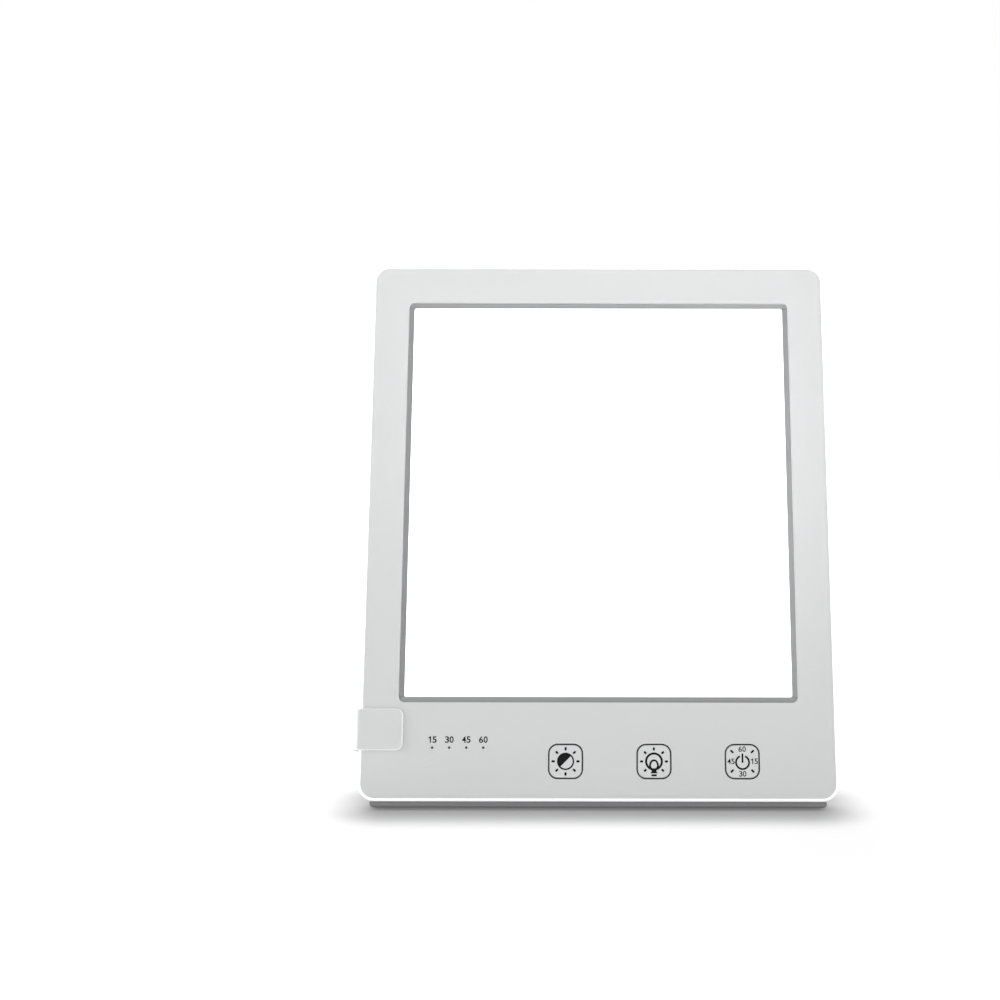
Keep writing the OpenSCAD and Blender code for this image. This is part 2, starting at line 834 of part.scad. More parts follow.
// frame round the socket, with a well as wide as the opening in the wall
module port_surround() color(near_black) leaned()
    difference() {
        block([port_face_x - surround_t, surround_front, port_z - port_l / 2 - surround_border],
            [wall_in_x, ledge_y - fit, port_z + port_l / 2 + surround_border]);
        port_opening(port_face_x, panel_w / 2);
        translate([port_face_x - surround_t - over, port_y, port_z])
            rotate([90, 0, 90])
                linear_extrude(surround_t + 2 * over)
                    round_rect(usb_h, usb_w, usb_r);
    }

// ---- back ----------------------------------------------------------------

// outline of one vent's holes, from its first column outwards
module vent_holes(first_x, side) {
    for (i = [0:vent_cols - 1], j = [0:vent_rows - 1])
        translate([side * (first_x + i * vent_pitch), vent_z + j * vent_pitch])
            circle(d = vent_d);
}

// snap hook whose catch points along +x from the cover's edge
module hook() {
    translate([0, 0, -hook_w / 2])
        linear_extrude(hook_w)
            polygon([[0, cover_y], [-hook_t, cover_y], [-hook_t, cover_y - hook_len],
                [0, cover_y - hook_len], [hook_catch, ledge_y - fit - catch_t],
                [hook_catch, ledge_y - fit], [0, ledge_y - fit]]);
}

module back_cover() color(cover_white) leaned() {
    slab(cover_y, panel_t)
        difference() {
            round_rect(cover_w, cover_h, cover_r, 0, panel_h / 2);
            vent_holes(vent_right_x, 1);
            vent_holes(vent_left_x, -1);
        }
    for (sx = [0, 1])
        mirror([sx, 0, 0])
            for (z = hook_side_z)
                translate([panel_w / 2 - hook_inset, 0, z])
                    hook();
    for (x = hook_end_x) {
        translate([x, 0, panel_h - hook_inset])
            rotate([0, -90, 0])
                hook();
        translate([x, 0, hook_inset])
            rotate([0, 90, 0])
                hook();
    }
    for (x = [-view_w / 4, view_w / 4])
        block([x - rib_t / 2, cover_y - rib_h, bottom_margin],
            [x + rib_t / 2, cover_y, panel_h - top_margin]);
    for (z = [bottom_margin, panel_h - top_margin])
        block([-view_w / 2, cover_y - rib_h, z - rib_t / 2],
            [view_w / 2, cover_y, z + rib_t / 2]);
}

module vent_screens() color(near_black) leaned()
    for (vent = [[vent_right_x, 1], [vent_left_x, -1]])
        slab(cover_y - screen_t, cover_y)
            translate([vent[1] * (vent[0] + vent_w / 2), vent_z + vent_h / 2])
                square([vent_w + 2 * screen_border, vent_h + 2 * screen_border], center = true);

// ---- base strip ----------------------------------------------------------

module base_pad() color(soft_grey) leaned() {
    intersection() {
        translate([-base_l / 2, 0, 0])
            rotate([90, 0, 90])
                linear_extrude(base_l)
                    polygon([[base_front, 0], [base_front, -base_drop], [base_heel, -base_drop],
                        [base_back, base_back_z], [base_back, 0]]);
        slab(0, panel_t) {
            translate([-base_l / 2, -base_drop + base_r])
                square([base_l, base_drop - base_r + over]);
            translate([-base_l / 2 + base_r, -base_drop])
                square([base_l - 2 * base_r, base_drop + over]);
            for (sx = [-1, 1])
                translate([sx * (base_l / 2 - base_r), -base_drop + base_r])
                    circle(base_r);
        }
    }
    block([-base_rib_l / 2 + fit, rib_y - base_rib / 2 + fit / 2, -over / 2],
        [base_rib_l / 2 - fit, rib_y + base_rib / 2 - fit / 2, base_rib - fit]);
}

// ---- stand ---------------------------------------------------------------

// cross-section of the clip, (x, depth)
module clip_section() {
    low_y = -clip_gap - clip_front_t;
    difference() {
        union() {
            translate([clip_x, low_y + clip_fold_r])
                square([clip_fold_r, stand_back - low_y - 2 * clip_fold_r]);
            translate([clip_x + clip_fold_r, low_y])
                square([stand_right - clip_x - clip_fold_r, stand_back - low_y]);
            translate([clip_x + clip_fold_r, low_y + clip_fold_r])
                circle(clip_fold_r);
            translate([clip_x + clip_fold_r, stand_back - clip_fold_r])
                circle(clip_fold_r);
        }
        translate([-panel_w / 2 - clip_gap, -clip_gap])
            square([panel_w, panel_t + 2 * clip_gap]);
    }
}

// outline of the clip, (x, height), with its own corner radius at the right
module clip_outline(right_x, right_r) {
    translate([clip_x + clip_side_r, clip_z])
        square([right_x - clip_x - clip_side_r - right_r, clip_h]);
    translate([clip_x, clip_z + clip_side_r])
        square([2 * clip_side_r, clip_h - 2 * clip_side_r]);
    translate([right_x - 2 * right_r, clip_z + right_r])
        square([2 * right_r, clip_h - 2 * right_r]);
    for (sz = [-1, 1]) {
        translate([clip_x + clip_side_r, clip_mid_z + sz * (clip_h / 2 - clip_side_r)])
            circle(clip_side_r);
        translate([right_x - right_r, clip_mid_z + sz * (clip_h / 2 - right_r)])
            circle(right_r);
    }
}

module stand_clip() color(shell_white) leaned()
    difference() {
        union() {
            intersection() {
                translate([0, 0, clip_z])
                    linear_extrude(clip_h)
                        clip_section();
                union() {
                    slab(-clip_gap - clip_front_t - over, panel_t / 2)
                        clip_outline(-panel_w / 2 + clip_reach, clip_r);
                    slab(panel_t / 2, stand_back)
                        clip_outline(stand_right, stand_r);
                }
            }
            slab(stand_y, stand_back)
                round_rect(stand_w, stand_top - clip_z, stand_r,
                    (stand_left + stand_right) / 2, (stand_top + clip_z) / 2);
            for (x = [hinge_left, hinge_right - ear_l]) {
                rod_x(hinge_y, hinge_z, 2 * knuckle_r, x, x + ear_l);
                block([x, stand_back - over, hinge_z - knuckle_r],
                    [x + ear_l, hinge_y, hinge_z + knuckle_r]);
            }
        }
        rod_x(hinge_y, hinge_z, pin_d, hinge_left - over, hinge_right + over);
        pad_blocks(0);
    }

// soft pads set in pockets of the clip, standing out of it by the given amount
module pad_blocks(out) {
    low = clip_z + pad_edge;
    high = clip_z + clip_h - pad_edge;
    block([pad_from_fold - panel_w / 2, -clip_gap - clip_pad_t + clip_pad_out, low],
        [clip_reach - pad_edge - panel_w / 2, -clip_gap + out, high]);
    block([stand_left + pad_rear_edge, stand_y - out, low],
        [stand_right - pad_rear_edge, stand_y + clip_pad_t - clip_pad_out, high]);
}

module clip_pads() color(soft_grey) leaned()
    pad_blocks(clip_pad_out);

module hinge_pin() color(metal) leaned() {
    rod_x(hinge_y, hinge_z, pin_d, hinge_left - pin_head_t / 2, hinge_right + pin_head_t / 2);
    rod_x(hinge_y, hinge_z, pin_head_d, hinge_left - pin_head_t, hinge_left);
    rod_x(hinge_y, hinge_z, pin_head_d, hinge_right, hinge_right + pin_head_t);
}

module hinge_washers() color(soft_grey) leaned()
    for (x = [hinge_left + ear_l, hinge_right - ear_l - washer_t])
        difference() {
            rod_x(hinge_y, hinge_z, washer_d, x, x + washer_t);
            rod_x(hinge_y, hinge_z, pin_d + 2 * pin_clear, x - over, x + washer_t + over);
        }

// puts a leg drawn level, hinge at the origin, foot along +y, in its place
module leg_place() {
    translate([leg_x, hinge_wy, hinge_wz])
        rotate([-leg_drop, 0, 0])
            children();
}

module stand_leg() color(shell_white) leg_place()
    difference() {
        union() {
            translate([0, 0, -leg_t / 2])
                linear_extrude(leg_t)
                    polygon([[-leg_w / 2, -heel_l], [leg_w / 2, -heel_l], [leg_w / 2, leg_shoulder],
                        [leg_foot_w / 2, leg_l - foot_r], [leg_foot_w / 2, leg_l],
                        [-leg_foot_w / 2, leg_l], [-leg_foot_w / 2, leg_l - foot_r],
                        [-leg_w / 2, leg_shoulder]]);
            rod_x(0, 0, 2 * knuckle_r, -leg_w / 2, leg_w / 2);
        }
        rod_x(0, 0, pin_d + 2 * pin_clear, -leg_w / 2 - over, leg_w / 2 + over);
    }

module foot_pad() color(soft_grey)
    difference() {
        leg_place()
            difference() {
                rod_x(leg_l, 0, 2 * foot_r, -leg_foot_w / 2, leg_foot_w / 2);
                block([-leg_foot_w, leg_l - 2 * foot_r, -leg_t / 2],
                    [leg_foot_w, leg_l, leg_t / 2]);
            }
        block([leg_x - leg_foot_w, 0, -2 * foot_r], [leg_x + leg_foot_w, 2 * leg_l, 0]);
    }

front_shell();
window_trim();
diffuser_plate();
diffusion_film();
light_guide();
reflector_sheet();
heat_plate();
led_strip_left();
led_strip_right();
leds_left();
leds_right();
heat_plate_screws();
control_board();
board_screws();
tact_switches();
key_rings();
key_brightness();
key_colour();
key_power();
post_brightness();
post_colour();
post_power();
timer_light_pipes();
timer_leds();
controller_chip();
driver_coil();
capacitors();
lead_connectors();
led_leads();
usb_socket();
usb_tongue();
port_surround();
back_cover();
vent_screens();
base_pad();
stand_clip();
clip_pads();
hinge_pin();
hinge_washers();
stand_leg();
foot_pad();
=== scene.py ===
import json
import math
import bmesh
import bpy
from mathutils import Matrix, Vector


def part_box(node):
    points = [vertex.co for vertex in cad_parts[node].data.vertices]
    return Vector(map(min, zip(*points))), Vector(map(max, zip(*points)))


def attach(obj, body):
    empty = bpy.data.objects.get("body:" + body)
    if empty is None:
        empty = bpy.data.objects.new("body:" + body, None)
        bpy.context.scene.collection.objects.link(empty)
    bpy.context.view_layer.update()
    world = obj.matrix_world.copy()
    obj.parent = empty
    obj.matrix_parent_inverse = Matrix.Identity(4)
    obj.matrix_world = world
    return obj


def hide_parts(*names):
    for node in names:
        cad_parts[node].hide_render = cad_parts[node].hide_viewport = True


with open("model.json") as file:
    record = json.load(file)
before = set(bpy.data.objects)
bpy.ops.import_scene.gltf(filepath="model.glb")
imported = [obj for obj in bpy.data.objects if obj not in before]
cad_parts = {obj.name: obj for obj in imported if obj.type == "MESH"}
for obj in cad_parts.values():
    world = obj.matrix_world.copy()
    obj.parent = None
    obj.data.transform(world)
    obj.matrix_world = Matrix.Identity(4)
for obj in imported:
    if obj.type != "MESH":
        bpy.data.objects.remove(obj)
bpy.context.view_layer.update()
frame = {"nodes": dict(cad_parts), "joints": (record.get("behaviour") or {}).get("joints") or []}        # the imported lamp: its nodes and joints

mm = 0.001  # sizes below are written in millimetres
hair = 0.01 * mm  # slack for picking by place; it also keeps fused faces out of one plane
print("frame loaded")


def inMetres(values):
    return {key: value * mm for key, value in values.items()}


# the camera stands where the photograph was taken from, in the lamp's own frame
cameraValues = {
    "place": (-5.2, -673.3, 166.6),
    "turn": (87.344, -0.10, -0.09),
    "lens": 55.55,
    "sensorWidth": 36,
    "shift": -0.0894,  # the photograph shows the panel right of its middle, without turning
}


def addCamera():
    bpy.ops.object.camera_add(
        location=Vector(cameraValues["place"]) * mm,
        rotation=[math.radians(angle) for angle in cameraValues["turn"]],
    )
    eye = bpy.context.active_object
    eye.data.sensor_width = cameraValues["sensorWidth"]
    eye.data.lens = cameraValues["lens"]
    eye.data.shift_x = cameraValues["shift"]
    bpy.context.scene.camera = eye
    bpy.context.scene.view_settings.view_transform = "Standard"


addCamera()
print("camera set")

# the panel leans back; pieces are modelled upright, front face at y = 0 and
# bottom edge at z = 0, and are leaned back when they are finished
pressAxis = Vector(next(j["axis"] for j in frame["joints"] if j["name"] == "power_key_press"))
leanAngle = math.atan2(-pressAxis.z, pressAxis.y)
standUp = Matrix.Rotation(leanAngle, 4, "X")


def boxThrough(node, turn, test=None):
    # box of a node's corner points once turned; a test may leave some of them out
    points = [turn @ vertex.co for vertex in frame["nodes"][node].data.vertices]
    points = [point for point in points if test is None or test(point)]
    low = Vector([min(point[i] for point in points) for i in range(3)])
    high = Vector([max(point[i] for point in points) for i in range(3)])
    return low, high


shellCorner = boxThrough("front_shell", standUp)[0]
rowToUpright = Matrix.Translation((0, -shellCorner.y, -shellCorner.z)) @ standUp
uprightToRow = rowToUpright.inverted()
hingeJoint = next(j for j in frame["joints"] if j["name"] == "leg_fold")
hingeRow = Vector(hingeJoint["pos_m"])
hingeUpright = rowToUpright @ hingeRow


def uprightBox(node, test=None):
    return boxThrough(node, rowToUpright, test)


panelLow, panelHigh = uprightBox("front_shell")
panelT = panelHigh.y
panelH = panelHigh.z


# modelling by hand: one object at a time, with edges and faces picked by place or normal

def clearSelection():
    if bpy.context.mode != "OBJECT":
        bpy.ops.object.mode_set(mode="OBJECT")
    bpy.ops.object.select_all(action="DESELECT")


def useAlone(obj):
    clearSelection()
    obj.select_set(True)
    bpy.context.view_layer.objects.active = obj


def leaveEdit():
    bpy.ops.object.mode_set(mode="OBJECT")


def editWhole(obj):
    useAlone(obj)
    bpy.ops.object.mode_set(mode="EDIT")
    bpy.ops.mesh.select_all(action="SELECT")


def addNew(name, operator, **values):
    # runs one of the add operators with nothing selected, and names what it makes
    clearSelection()
    operator(**values)
    obj = bpy.context.active_object
    obj.name = name
    return obj


def applyModifier(obj, kind, **values):
    useAlone(obj)
    bpy.ops.object.modifier_add(type=kind)
    change = obj.modifiers[-1]
    for key, value in values.items():
        setattr(change, key, value)
    bpy.ops.object.modifier_apply(modifier=change.name)


def applyPlace(obj, place=None):
    useAlone(obj)
    if place is not None:
        obj.matrix_world = place @ obj.matrix_world
    bpy.ops.object.transform_apply(location=True, rotation=True, scale=True)


def addBlock(name, low, high):
    low, high = Vector(low), Vector(high)
    block = addNew(name, bpy.ops.mesh.primitive_cube_add, size=1, location=(low + high) / 2)
    block.scale = high - low
    applyPlace(block)
    return block


def addRod(name, axis, diameter, start, end, sides=48):
    # start and end are the centres of the rod's two ends
    start, end = Vector(start), Vector(end)
    rod = addNew(name, bpy.ops.mesh.primitive_cylinder_add, vertices=sides, radius=diameter / 2,
                 depth=(end - start).length, location=(start + end) / 2)
    if axis == "Y":
        rod.rotation_euler = (math.radians(90), 0, 0)
    if axis == "X":
        rod.rotation_euler = (0, math.radians(90), 0)
    applyPlace(rod)
    return rod


def startPicking(obj, kind):
    useAlone(obj)
    bpy.ops.object.mode_set(mode="EDIT")
    bpy.ops.mesh.select_mode(type=kind)
    bpy.ops.mesh.select_all(action="DESELECT")
    return bmesh.from_edit_mesh(obj.data)


def pickEdges(obj, test):
    mesh = startPicking(obj, "EDGE")
    for edge in mesh.edges:
        if test(edge, edge.verts[0].co, edge.verts[1].co):
            edge.select_set(True)
    mesh.select_flush_mode()
    bmesh.update_edit_mesh(obj.data)


def pickFaces(obj, test):
    mesh = startPicking(obj, "FACE")
    for face in mesh.faces:
        if test(face.calc_center_median(), face.normal):
            face.select_set(True)
    bmesh.update_edit_mesh(obj.data)


def isCrisp(edge, degrees=30):
    return len(edge.link_faces) == 2 and edge.calc_face_angle() > math.radians(degrees)


def roundEdges(obj, radius, segments, test, clamp=True):
    pickEdges(obj, test)
    bpy.ops.mesh.bevel(offset=radius, segments=segments, affect="EDGES", profile=0.5, clamp_overlap=clamp)
    leaveEdit()


def runsAlong(axis, a, b):
    step = b - a
    return step.length > 0 and abs(step[axis]) > 0.999 * step.length


def addSlab(name, low, high, radius, axis=1, segments=12):
    # block whose four edges along one axis are round
    slab = addBlock(name, low, high)
    roundEdges(slab, radius, segments, lambda edge, a, b: runsAlong(axis, a, b))
    return slab


def combine(obj, tool, how, solver="MANIFOLD"):
    applyModifier(obj, "BOOLEAN", operation=how, solver=solver, object=tool)
    bpy.data.objects.remove(tool, do_unlink=True)


def cut(obj, *tools, solver="MANIFOLD"):
    for tool in tools:
        combine(obj, tool, "DIFFERENCE", solver)
    return obj


def fuse(obj, *tools, solver="MANIFOLD"):
    for tool in tools:
        combine(obj, tool, "UNION", solver)
    return obj


def joinPieces(name, parts):
    clearSelection()
    for part in parts:
        part.select_set(True)
    bpy.context.view_layer.objects.active = parts[0]
    if len(parts) > 1:
        bpy.ops.object.join()
    joined = bpy.context.active_object
    joined.name = name
    return joined


def copyPiece(obj, name, place):
    useAlone(obj)
    bpy.ops.object.duplicate(linked=False)
    twin = bpy.context.active_object
    twin.name = name
    applyPlace(twin, place)
    return twin


def slicePiece(obj, point, normal, **how):
    editWhole(obj)
    bpy.ops.mesh.bisect(plane_co=point, plane_no=normal, **how)
    leaveEdit()


def tidyNormals(obj):
    editWhole(obj)
    bpy.ops.mesh.remove_doubles(threshold=0.0005 * mm)
    bpy.ops.mesh.normals_make_consistent(inside=False)
    leaveEdit()


def smoothShade(obj, degrees):
    useAlone(obj)
    bpy.ops.object.shade_smooth_by_angle(angle=math.radians(degrees))
    applyModifier(obj, "WEIGHTED_NORMAL", keep_sharp=True)


def finishPiece(obj, name, body, finish, nodes=(), place=uprightToRow, degrees=35):
    obj.name = name
    obj.data.name = name
    if place is not None:
        applyPlace(obj, place)
    smoothShade(obj, degrees)
    obj.data.materials.clear()
    obj.data.materials.append(finishes[finish])
    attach(obj, body)
    if nodes:
        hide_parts(*nodes)


# effects that several finishes share

def newGroup(name, inputs, outputs):
    group = bpy.data.node_groups.new(name, "ShaderNodeTree")
    for label, kind, value in inputs:
        socket = group.interface.new_socket(name=label, in_out="INPUT", socket_type=kind)
        if value is not None:
            socket.default_value = value
    for label, kind in outputs:
        group.interface.new_socket(name=label, in_out="OUTPUT", socket_type=kind)
    group.nodes.new("NodeGroupInput")
    group.nodes.new("NodeGroupOutput")
    return group


def addNode(tree, kind, **values):
    node = tree.nodes.new(kind)
    for key, value in values.items():
        setattr(node, key, value)
    return node


def link(tree, source, target):
    tree.links.new(source, target)


def feed(tree, value, socket):
    # sets a socket to a number, or links it to another socket
    if isinstance(value, (int, float)):
        socket.default_value = value
    else:
        link(tree, value, socket)


def addMath(tree, operation, first, second, clamp=False):
    node = addNode(tree, "ShaderNodeMath", operation=operation, use_clamp=clamp)
    feed(tree, first, node.inputs[0])
    feed(tree, second, node.inputs[1])
    return node.outputs[0]


def addScaled(tree, base, value, amount, clamp=False):
    return addMath(tree, "ADD", base, addMath(tree, "MULTIPLY", value, amount), clamp)


def addRamp(tree, value, ends, kind="LINEAR"):
    ramp = addNode(tree, "ShaderNodeMapRange", interpolation_type=kind)
    link(tree, value, ramp.inputs["Value"])
    for label, end in ends.items():
        feed(tree, end, ramp.inputs[label])
    return ramp.outputs[0]


def addNoise(tree, vector, scale, detail=2.0, rough=0.5):
    noise = addNode(tree, "ShaderNodeTexNoise")
    link(tree, vector, noise.inputs["Vector"])
    noise.inputs["Detail"].default_value = detail
    noise.inputs["Roughness"].default_value = rough
    feed(tree, scale, noise.inputs["Scale"])
    return noise.outputs["Fac"]


def groupEnds(group):
    start = next(n for n in group.nodes if n.type == "GROUP_INPUT")
    end = next(n for n in group.nodes if n.type == "GROUP_OUTPUT")
    return start.outputs, end.inputs


def shadeColour(tree, colour, brightness):
    # multiplies a colour by a value near 1
    grey = addNode(tree, "ShaderNodeCombineColor")
    for index in range(3):
        link(tree, brightness, grey.inputs[index])
    mix = addNode(tree, "ShaderNodeMix", data_type="RGBA", blend_type="MULTIPLY")
    mix.inputs[0].default_value = 1.0
    link(tree, colour, mix.inputs[6])
    link(tree, grey.outputs[0], mix.inputs[7])
    return mix.outputs[2]


def makeMouldedGrain():
    # fine spark-eroded mould texture with slow drifts of tone and gloss
    group = newGroup(
        "mouldedGrain",
        [("Vector", "NodeSocketVector", None), ("Color", "NodeSocketColor", (0.8, 0.8, 0.8, 1)),
         ("Tone", "NodeSocketFloat", 0.02), ("Scale", "NodeSocketFloat", 7000.0),
         ("Roughness", "NodeSocketFloat", 0.5)],
        [("Color", "NodeSocketColor"), ("Roughness", "NodeSocketFloat"), ("Height", "NodeSocketFloat")],
    )
    given, result = groupEnds(group)
    fine = addNoise(group, given["Vector"], given["Scale"], 3.0, 0.6)
    coarse = addNoise(group, given["Vector"], addMath(group, "MULTIPLY", given["Scale"], 0.31), 1.0)
    slow = addNoise(group, given["Vector"], 28.0, 2.0, 0.55)
    drift = addMath(group, "SUBTRACT", slow, 0.5)
    speck = addMath(group, "SUBTRACT", fine, 0.5)
    tone = addScaled(group, 1.0, addScaled(group, drift, speck, 0.6), given["Tone"])
    link(group, shadeColour(group, given["Color"], tone), result["Color"])
    gloss = addScaled(group, given["Roughness"], drift, 0.10)
    link(group, addScaled(group, gloss, speck, 0.08, True), result["Roughness"])
    link(group, addScaled(group, fine, coarse, 0.5), result["Height"])
    return group


def makeEdgeTouch():
    # edges that hands and cloths reach are a touch lighter and smoother
    group = newGroup(
        "edgeTouch",
        [("Color", "NodeSocketColor", (0.8, 0.8, 0.8, 1)), ("Roughness", "NodeSocketFloat", 0.5),
         ("Amount", "NodeSocketFloat", 0.05)],
        [("Color", "NodeSocketColor"), ("Roughness", "NodeSocketFloat")],
    )
    given, result = groupEnds(group)
    shape = addNode(group, "ShaderNodeNewGeometry")
    ramp = addRamp(group, shape.outputs["Pointiness"], {"From Min": 0.5, "From Max": 0.62})
    worn = addMath(group, "MULTIPLY", ramp, given["Amount"])
    tone = addMath(group, "ADD", worn, 1.0)
    link(group, shadeColour(group, given["Color"], tone), result["Color"])
    link(group, addMath(group, "SUBTRACT", given["Roughness"], worn, True), result["Roughness"])
    return group


def makeFrontShade():
    # mask: 1 where a surface faces the panel's front, 0 as it turns away; the greyer front tone is partly
    # painted shade; edge: the rounding between, which carries a painted highlight
    group = newGroup(
        "frontShade",
        [("Start", "NodeSocketFloat", 0.9), ("End", "NodeSocketFloat", 0.95)],
        [("Mask", "NodeSocketFloat"), ("Edge", "NodeSocketFloat")],
    )
    given, result = groupEnds(group)
    facing = addNode(group, "ShaderNodeVectorMath", operation="DOT_PRODUCT")
    facing.inputs[1].default_value = -pressAxis
    link(group, addNode(group, "ShaderNodeTexCoord").outputs["Normal"], facing.inputs[0])
    value = facing.outputs["Value"]
    mask = addRamp(group, value, {"From Min": given["Start"], "From Max": given["End"]}, "SMOOTHSTEP")
    link(group, mask, result["Mask"])
    turned = addRamp(group, value, {"From Min": 0.1, "From Max": 0.5}, "SMOOTHSTEP")
    edge = addMath(group, "MULTIPLY", turned, addMath(group, "SUBTRACT", 1.0, mask))
    link(group, edge, result["Edge"])
    return group


def makeBrushedLines():
    # fine parallel scratches, drawn out along the vector's x
    group = newGroup(
        "brushedLines",
        [("Vector", "NodeSocketVector", None), ("Color", "NodeSocketColor", (0.8, 0.8, 0.8, 1)),
         ("Roughness", "NodeSocketFloat", 0.3), ("Scale", "NodeSocketFloat", 3000.0)],
        [("Color", "NodeSocketColor"), ("Roughness", "NodeSocketFloat"), ("Height", "NodeSocketFloat")],
    )
    given, result = groupEnds(group)
    stretch = addNode(group, "ShaderNodeVectorMath", operation="MULTIPLY")
    stretch.inputs[1].default_value = (0.02, 1.0, 1.0)
    link(group, given["Vector"], stretch.inputs[0])
    lines = addNoise(group, stretch.outputs[0], given["Scale"], 3.0, 0.6)
    off = addMath(group, "SUBTRACT", lines, 0.5)
    tone = addScaled(group, 1.0, off, 0.25)
    link(group, shadeColour(group, given["Color"], tone), result["Color"])
    link(group, addScaled(group, given["Roughness"], off, 0.3, True), result["Roughness"])
    link(group, lines, result["Height"])
    return group


mouldedGrain = makeMouldedGrain()
edgeTouch = makeEdgeTouch()
frontShade = makeFrontShade()
brushedLines = makeBrushedLines()
print("node groups made")


def newFinish(name):
    finish = bpy.data.materials.new(name)
    finish.use_nodes = True
    tree = finish.node_tree
    shader = tree.nodes["Principled BSDF"]
    return finish, tree, shader


def placeGroup(tree, group, **values):
    node = addNode(tree, "ShaderNodeGroup")
    node.node_tree = group
    for key, value in values.items():
        node.inputs[key].default_value = value
    return node


def objectVector(tree):
    return addNode(tree, "ShaderNodeTexCoord").outputs["Object"]


def addBump(tree, shader, height, depth):
    bump = addNode(tree, "ShaderNodeBump")
    bump.inputs["Strength"].default_value = 1.0
    bump.inputs["Distance"].default_value = depth * mm
    link(tree, height, bump.inputs["Height"])
    link(tree, bump.outputs[0], shader.inputs["Normal"])


def placeBody(tree, group, **values):
    body = placeGroup(tree, group, **values)
    link(tree, objectVector(tree), body.inputs["Vector"])
    return body


def wearBody(tree, shader, body, height, depth):
    link(tree, body.outputs["Color"], shader.inputs["Base Color"])
    link(tree, body.outputs["Roughness"], shader.inputs["Roughness"])
    addBump(tree, shader, height, depth)


def plasticFinish(name, colour, rough, grain=0.14, depth=0.004, tone=0.02, edge=0.03, specular=0.5):
    # grain is the size of the mould texture in millimetres, depth its height
    finish, tree, shader = newFinish(name)
    scale = 1 / (grain * mm)
    body = placeBody(tree, mouldedGrain, Color=(*colour, 1), Tone=tone, Scale=scale, Roughness=rough)
    touch = placeGroup(tree, edgeTouch, Amount=edge)
    link(tree, body.outputs["Color"], touch.inputs["Color"])
    link(tree, body.outputs["Roughness"], touch.inputs["Roughness"])
    wearBody(tree, shader, touch, body.outputs["Height"], depth)
    shader.inputs["Specular IOR Level"].default_value = specular
    return finish


def twoToneAndHighlightFinish(name, colour, front, rough, start, end, paintedGlow, grain=0.12, depth=0.003):
    # white moulding, greyer where it faces the front, partly a two-tone finish and partly painted shade; its
    # rounded edges glow with a painted highlight
    finish = plasticFinish(name, colour, rough, grain, depth)
    tree = finish.node_tree
    body = next(node for node in tree.nodes if node.type == "GROUP" and node.node_tree == mouldedGrain)
    mask = placeGroup(tree, frontShade, Start=start, End=end)
    mix = addNode(tree, "ShaderNodeMix", data_type="RGBA")
    link(tree, mask.outputs["Mask"], mix.inputs[0])
    mix.inputs[6].default_value = (*colour, 1)
    mix.inputs[7].default_value = (*front, 1)
    link(tree, mix.outputs[2], body.inputs["Color"])
    shader = tree.nodes["Principled BSDF"]
    link(tree, mask.outputs["Edge"], shader.inputs["Emission Color"])
    shader.inputs["Emission Strength"].default_value = paintedGlow
    return finish


def metalFinish(name, colour, rough, scale=3000.0, depth=0.003):
    finish, tree, shader = newFinish(name)
    body = placeBody(tree, brushedLines, Color=(*colour, 1), Roughness=rough, Scale=scale)
    wearBody(tree, shader, body, body.outputs["Height"], depth)
    shader.inputs["Metallic"].default_value = 1.0
    return finish


glowValues = {"strength": 1.0, "colour": (1.0, 1.0, 1.0), "cloud": 0.006}


def opalFinish():
    # lit opal sheet: near even glow, a trace of cloud in the acrylic
    finish, tree, shader = newFinish("opalDiffuser")
    vector = objectVector(tree)
    cloud = addNoise(tree, vector, 45.0, 3.0, 0.6)
    fine = addNoise(tree, vector, 9000.0, 2.0, 0.5)
    tone = addScaled(tree, 1.0, addMath(tree, "SUBTRACT", cloud, 0.5), glowValues["cloud"])
    base = addNode(tree, "ShaderNodeRGB")
    base.outputs[0].default_value = (*glowValues["colour"], 1)
    glow = shadeColour(tree, base.outputs[0], tone)
    link(tree, glow, shader.inputs["Emission Color"])
    link(tree, glow, shader.inputs["Base Color"])
    shader.inputs["Emission Strength"].default_value = glowValues["strength"]
    shader.inputs["Roughness"].default_value = 0.45
    addBump(tree, shader, fine, 0.003)
    return finish


def sheetFinish(name, colour, rough, clear=0.0):
    finish, tree, shader = newFinish(name)
    body = placeBody(tree, mouldedGrain, Color=(*colour, 1), Tone=0.02, Scale=5000.0, Roughness=rough)
    wearBody(tree, shader, body, body.outputs["Height"], 0.002)
    shader.inputs["Transmission Weight"].default_value = clear
    return finish


boardValues = {"Color1": (0.012, 0.13, 0.05, 1), "Color2": (0.018, 0.17, 0.065, 1),
               "Mortar": (0.05, 0.30, 0.12, 1), "Scale": 260.0, "Mortar Size": 0.06}


def boardFinish():
    # solder mask over copper tracks: straight runs show as a lighter green
    finish, tree, shader = newFinish("boardGreen")
    tracks = addNode(tree, "ShaderNodeTexBrick", offset=0.37, squash=0.6, squash_frequency=3)
    link(tree, objectVector(tree), tracks.inputs["Vector"])
    for label, value in boardValues.items():
        tracks.inputs[label].default_value = value
    body = placeBody(tree, mouldedGrain, Tone=0.08, Scale=4000.0, Roughness=0.3)
    link(tree, tracks.outputs["Color"], body.inputs["Color"])
    wearBody(tree, shader, body, tracks.outputs["Fac"], 0.02)
    return finish


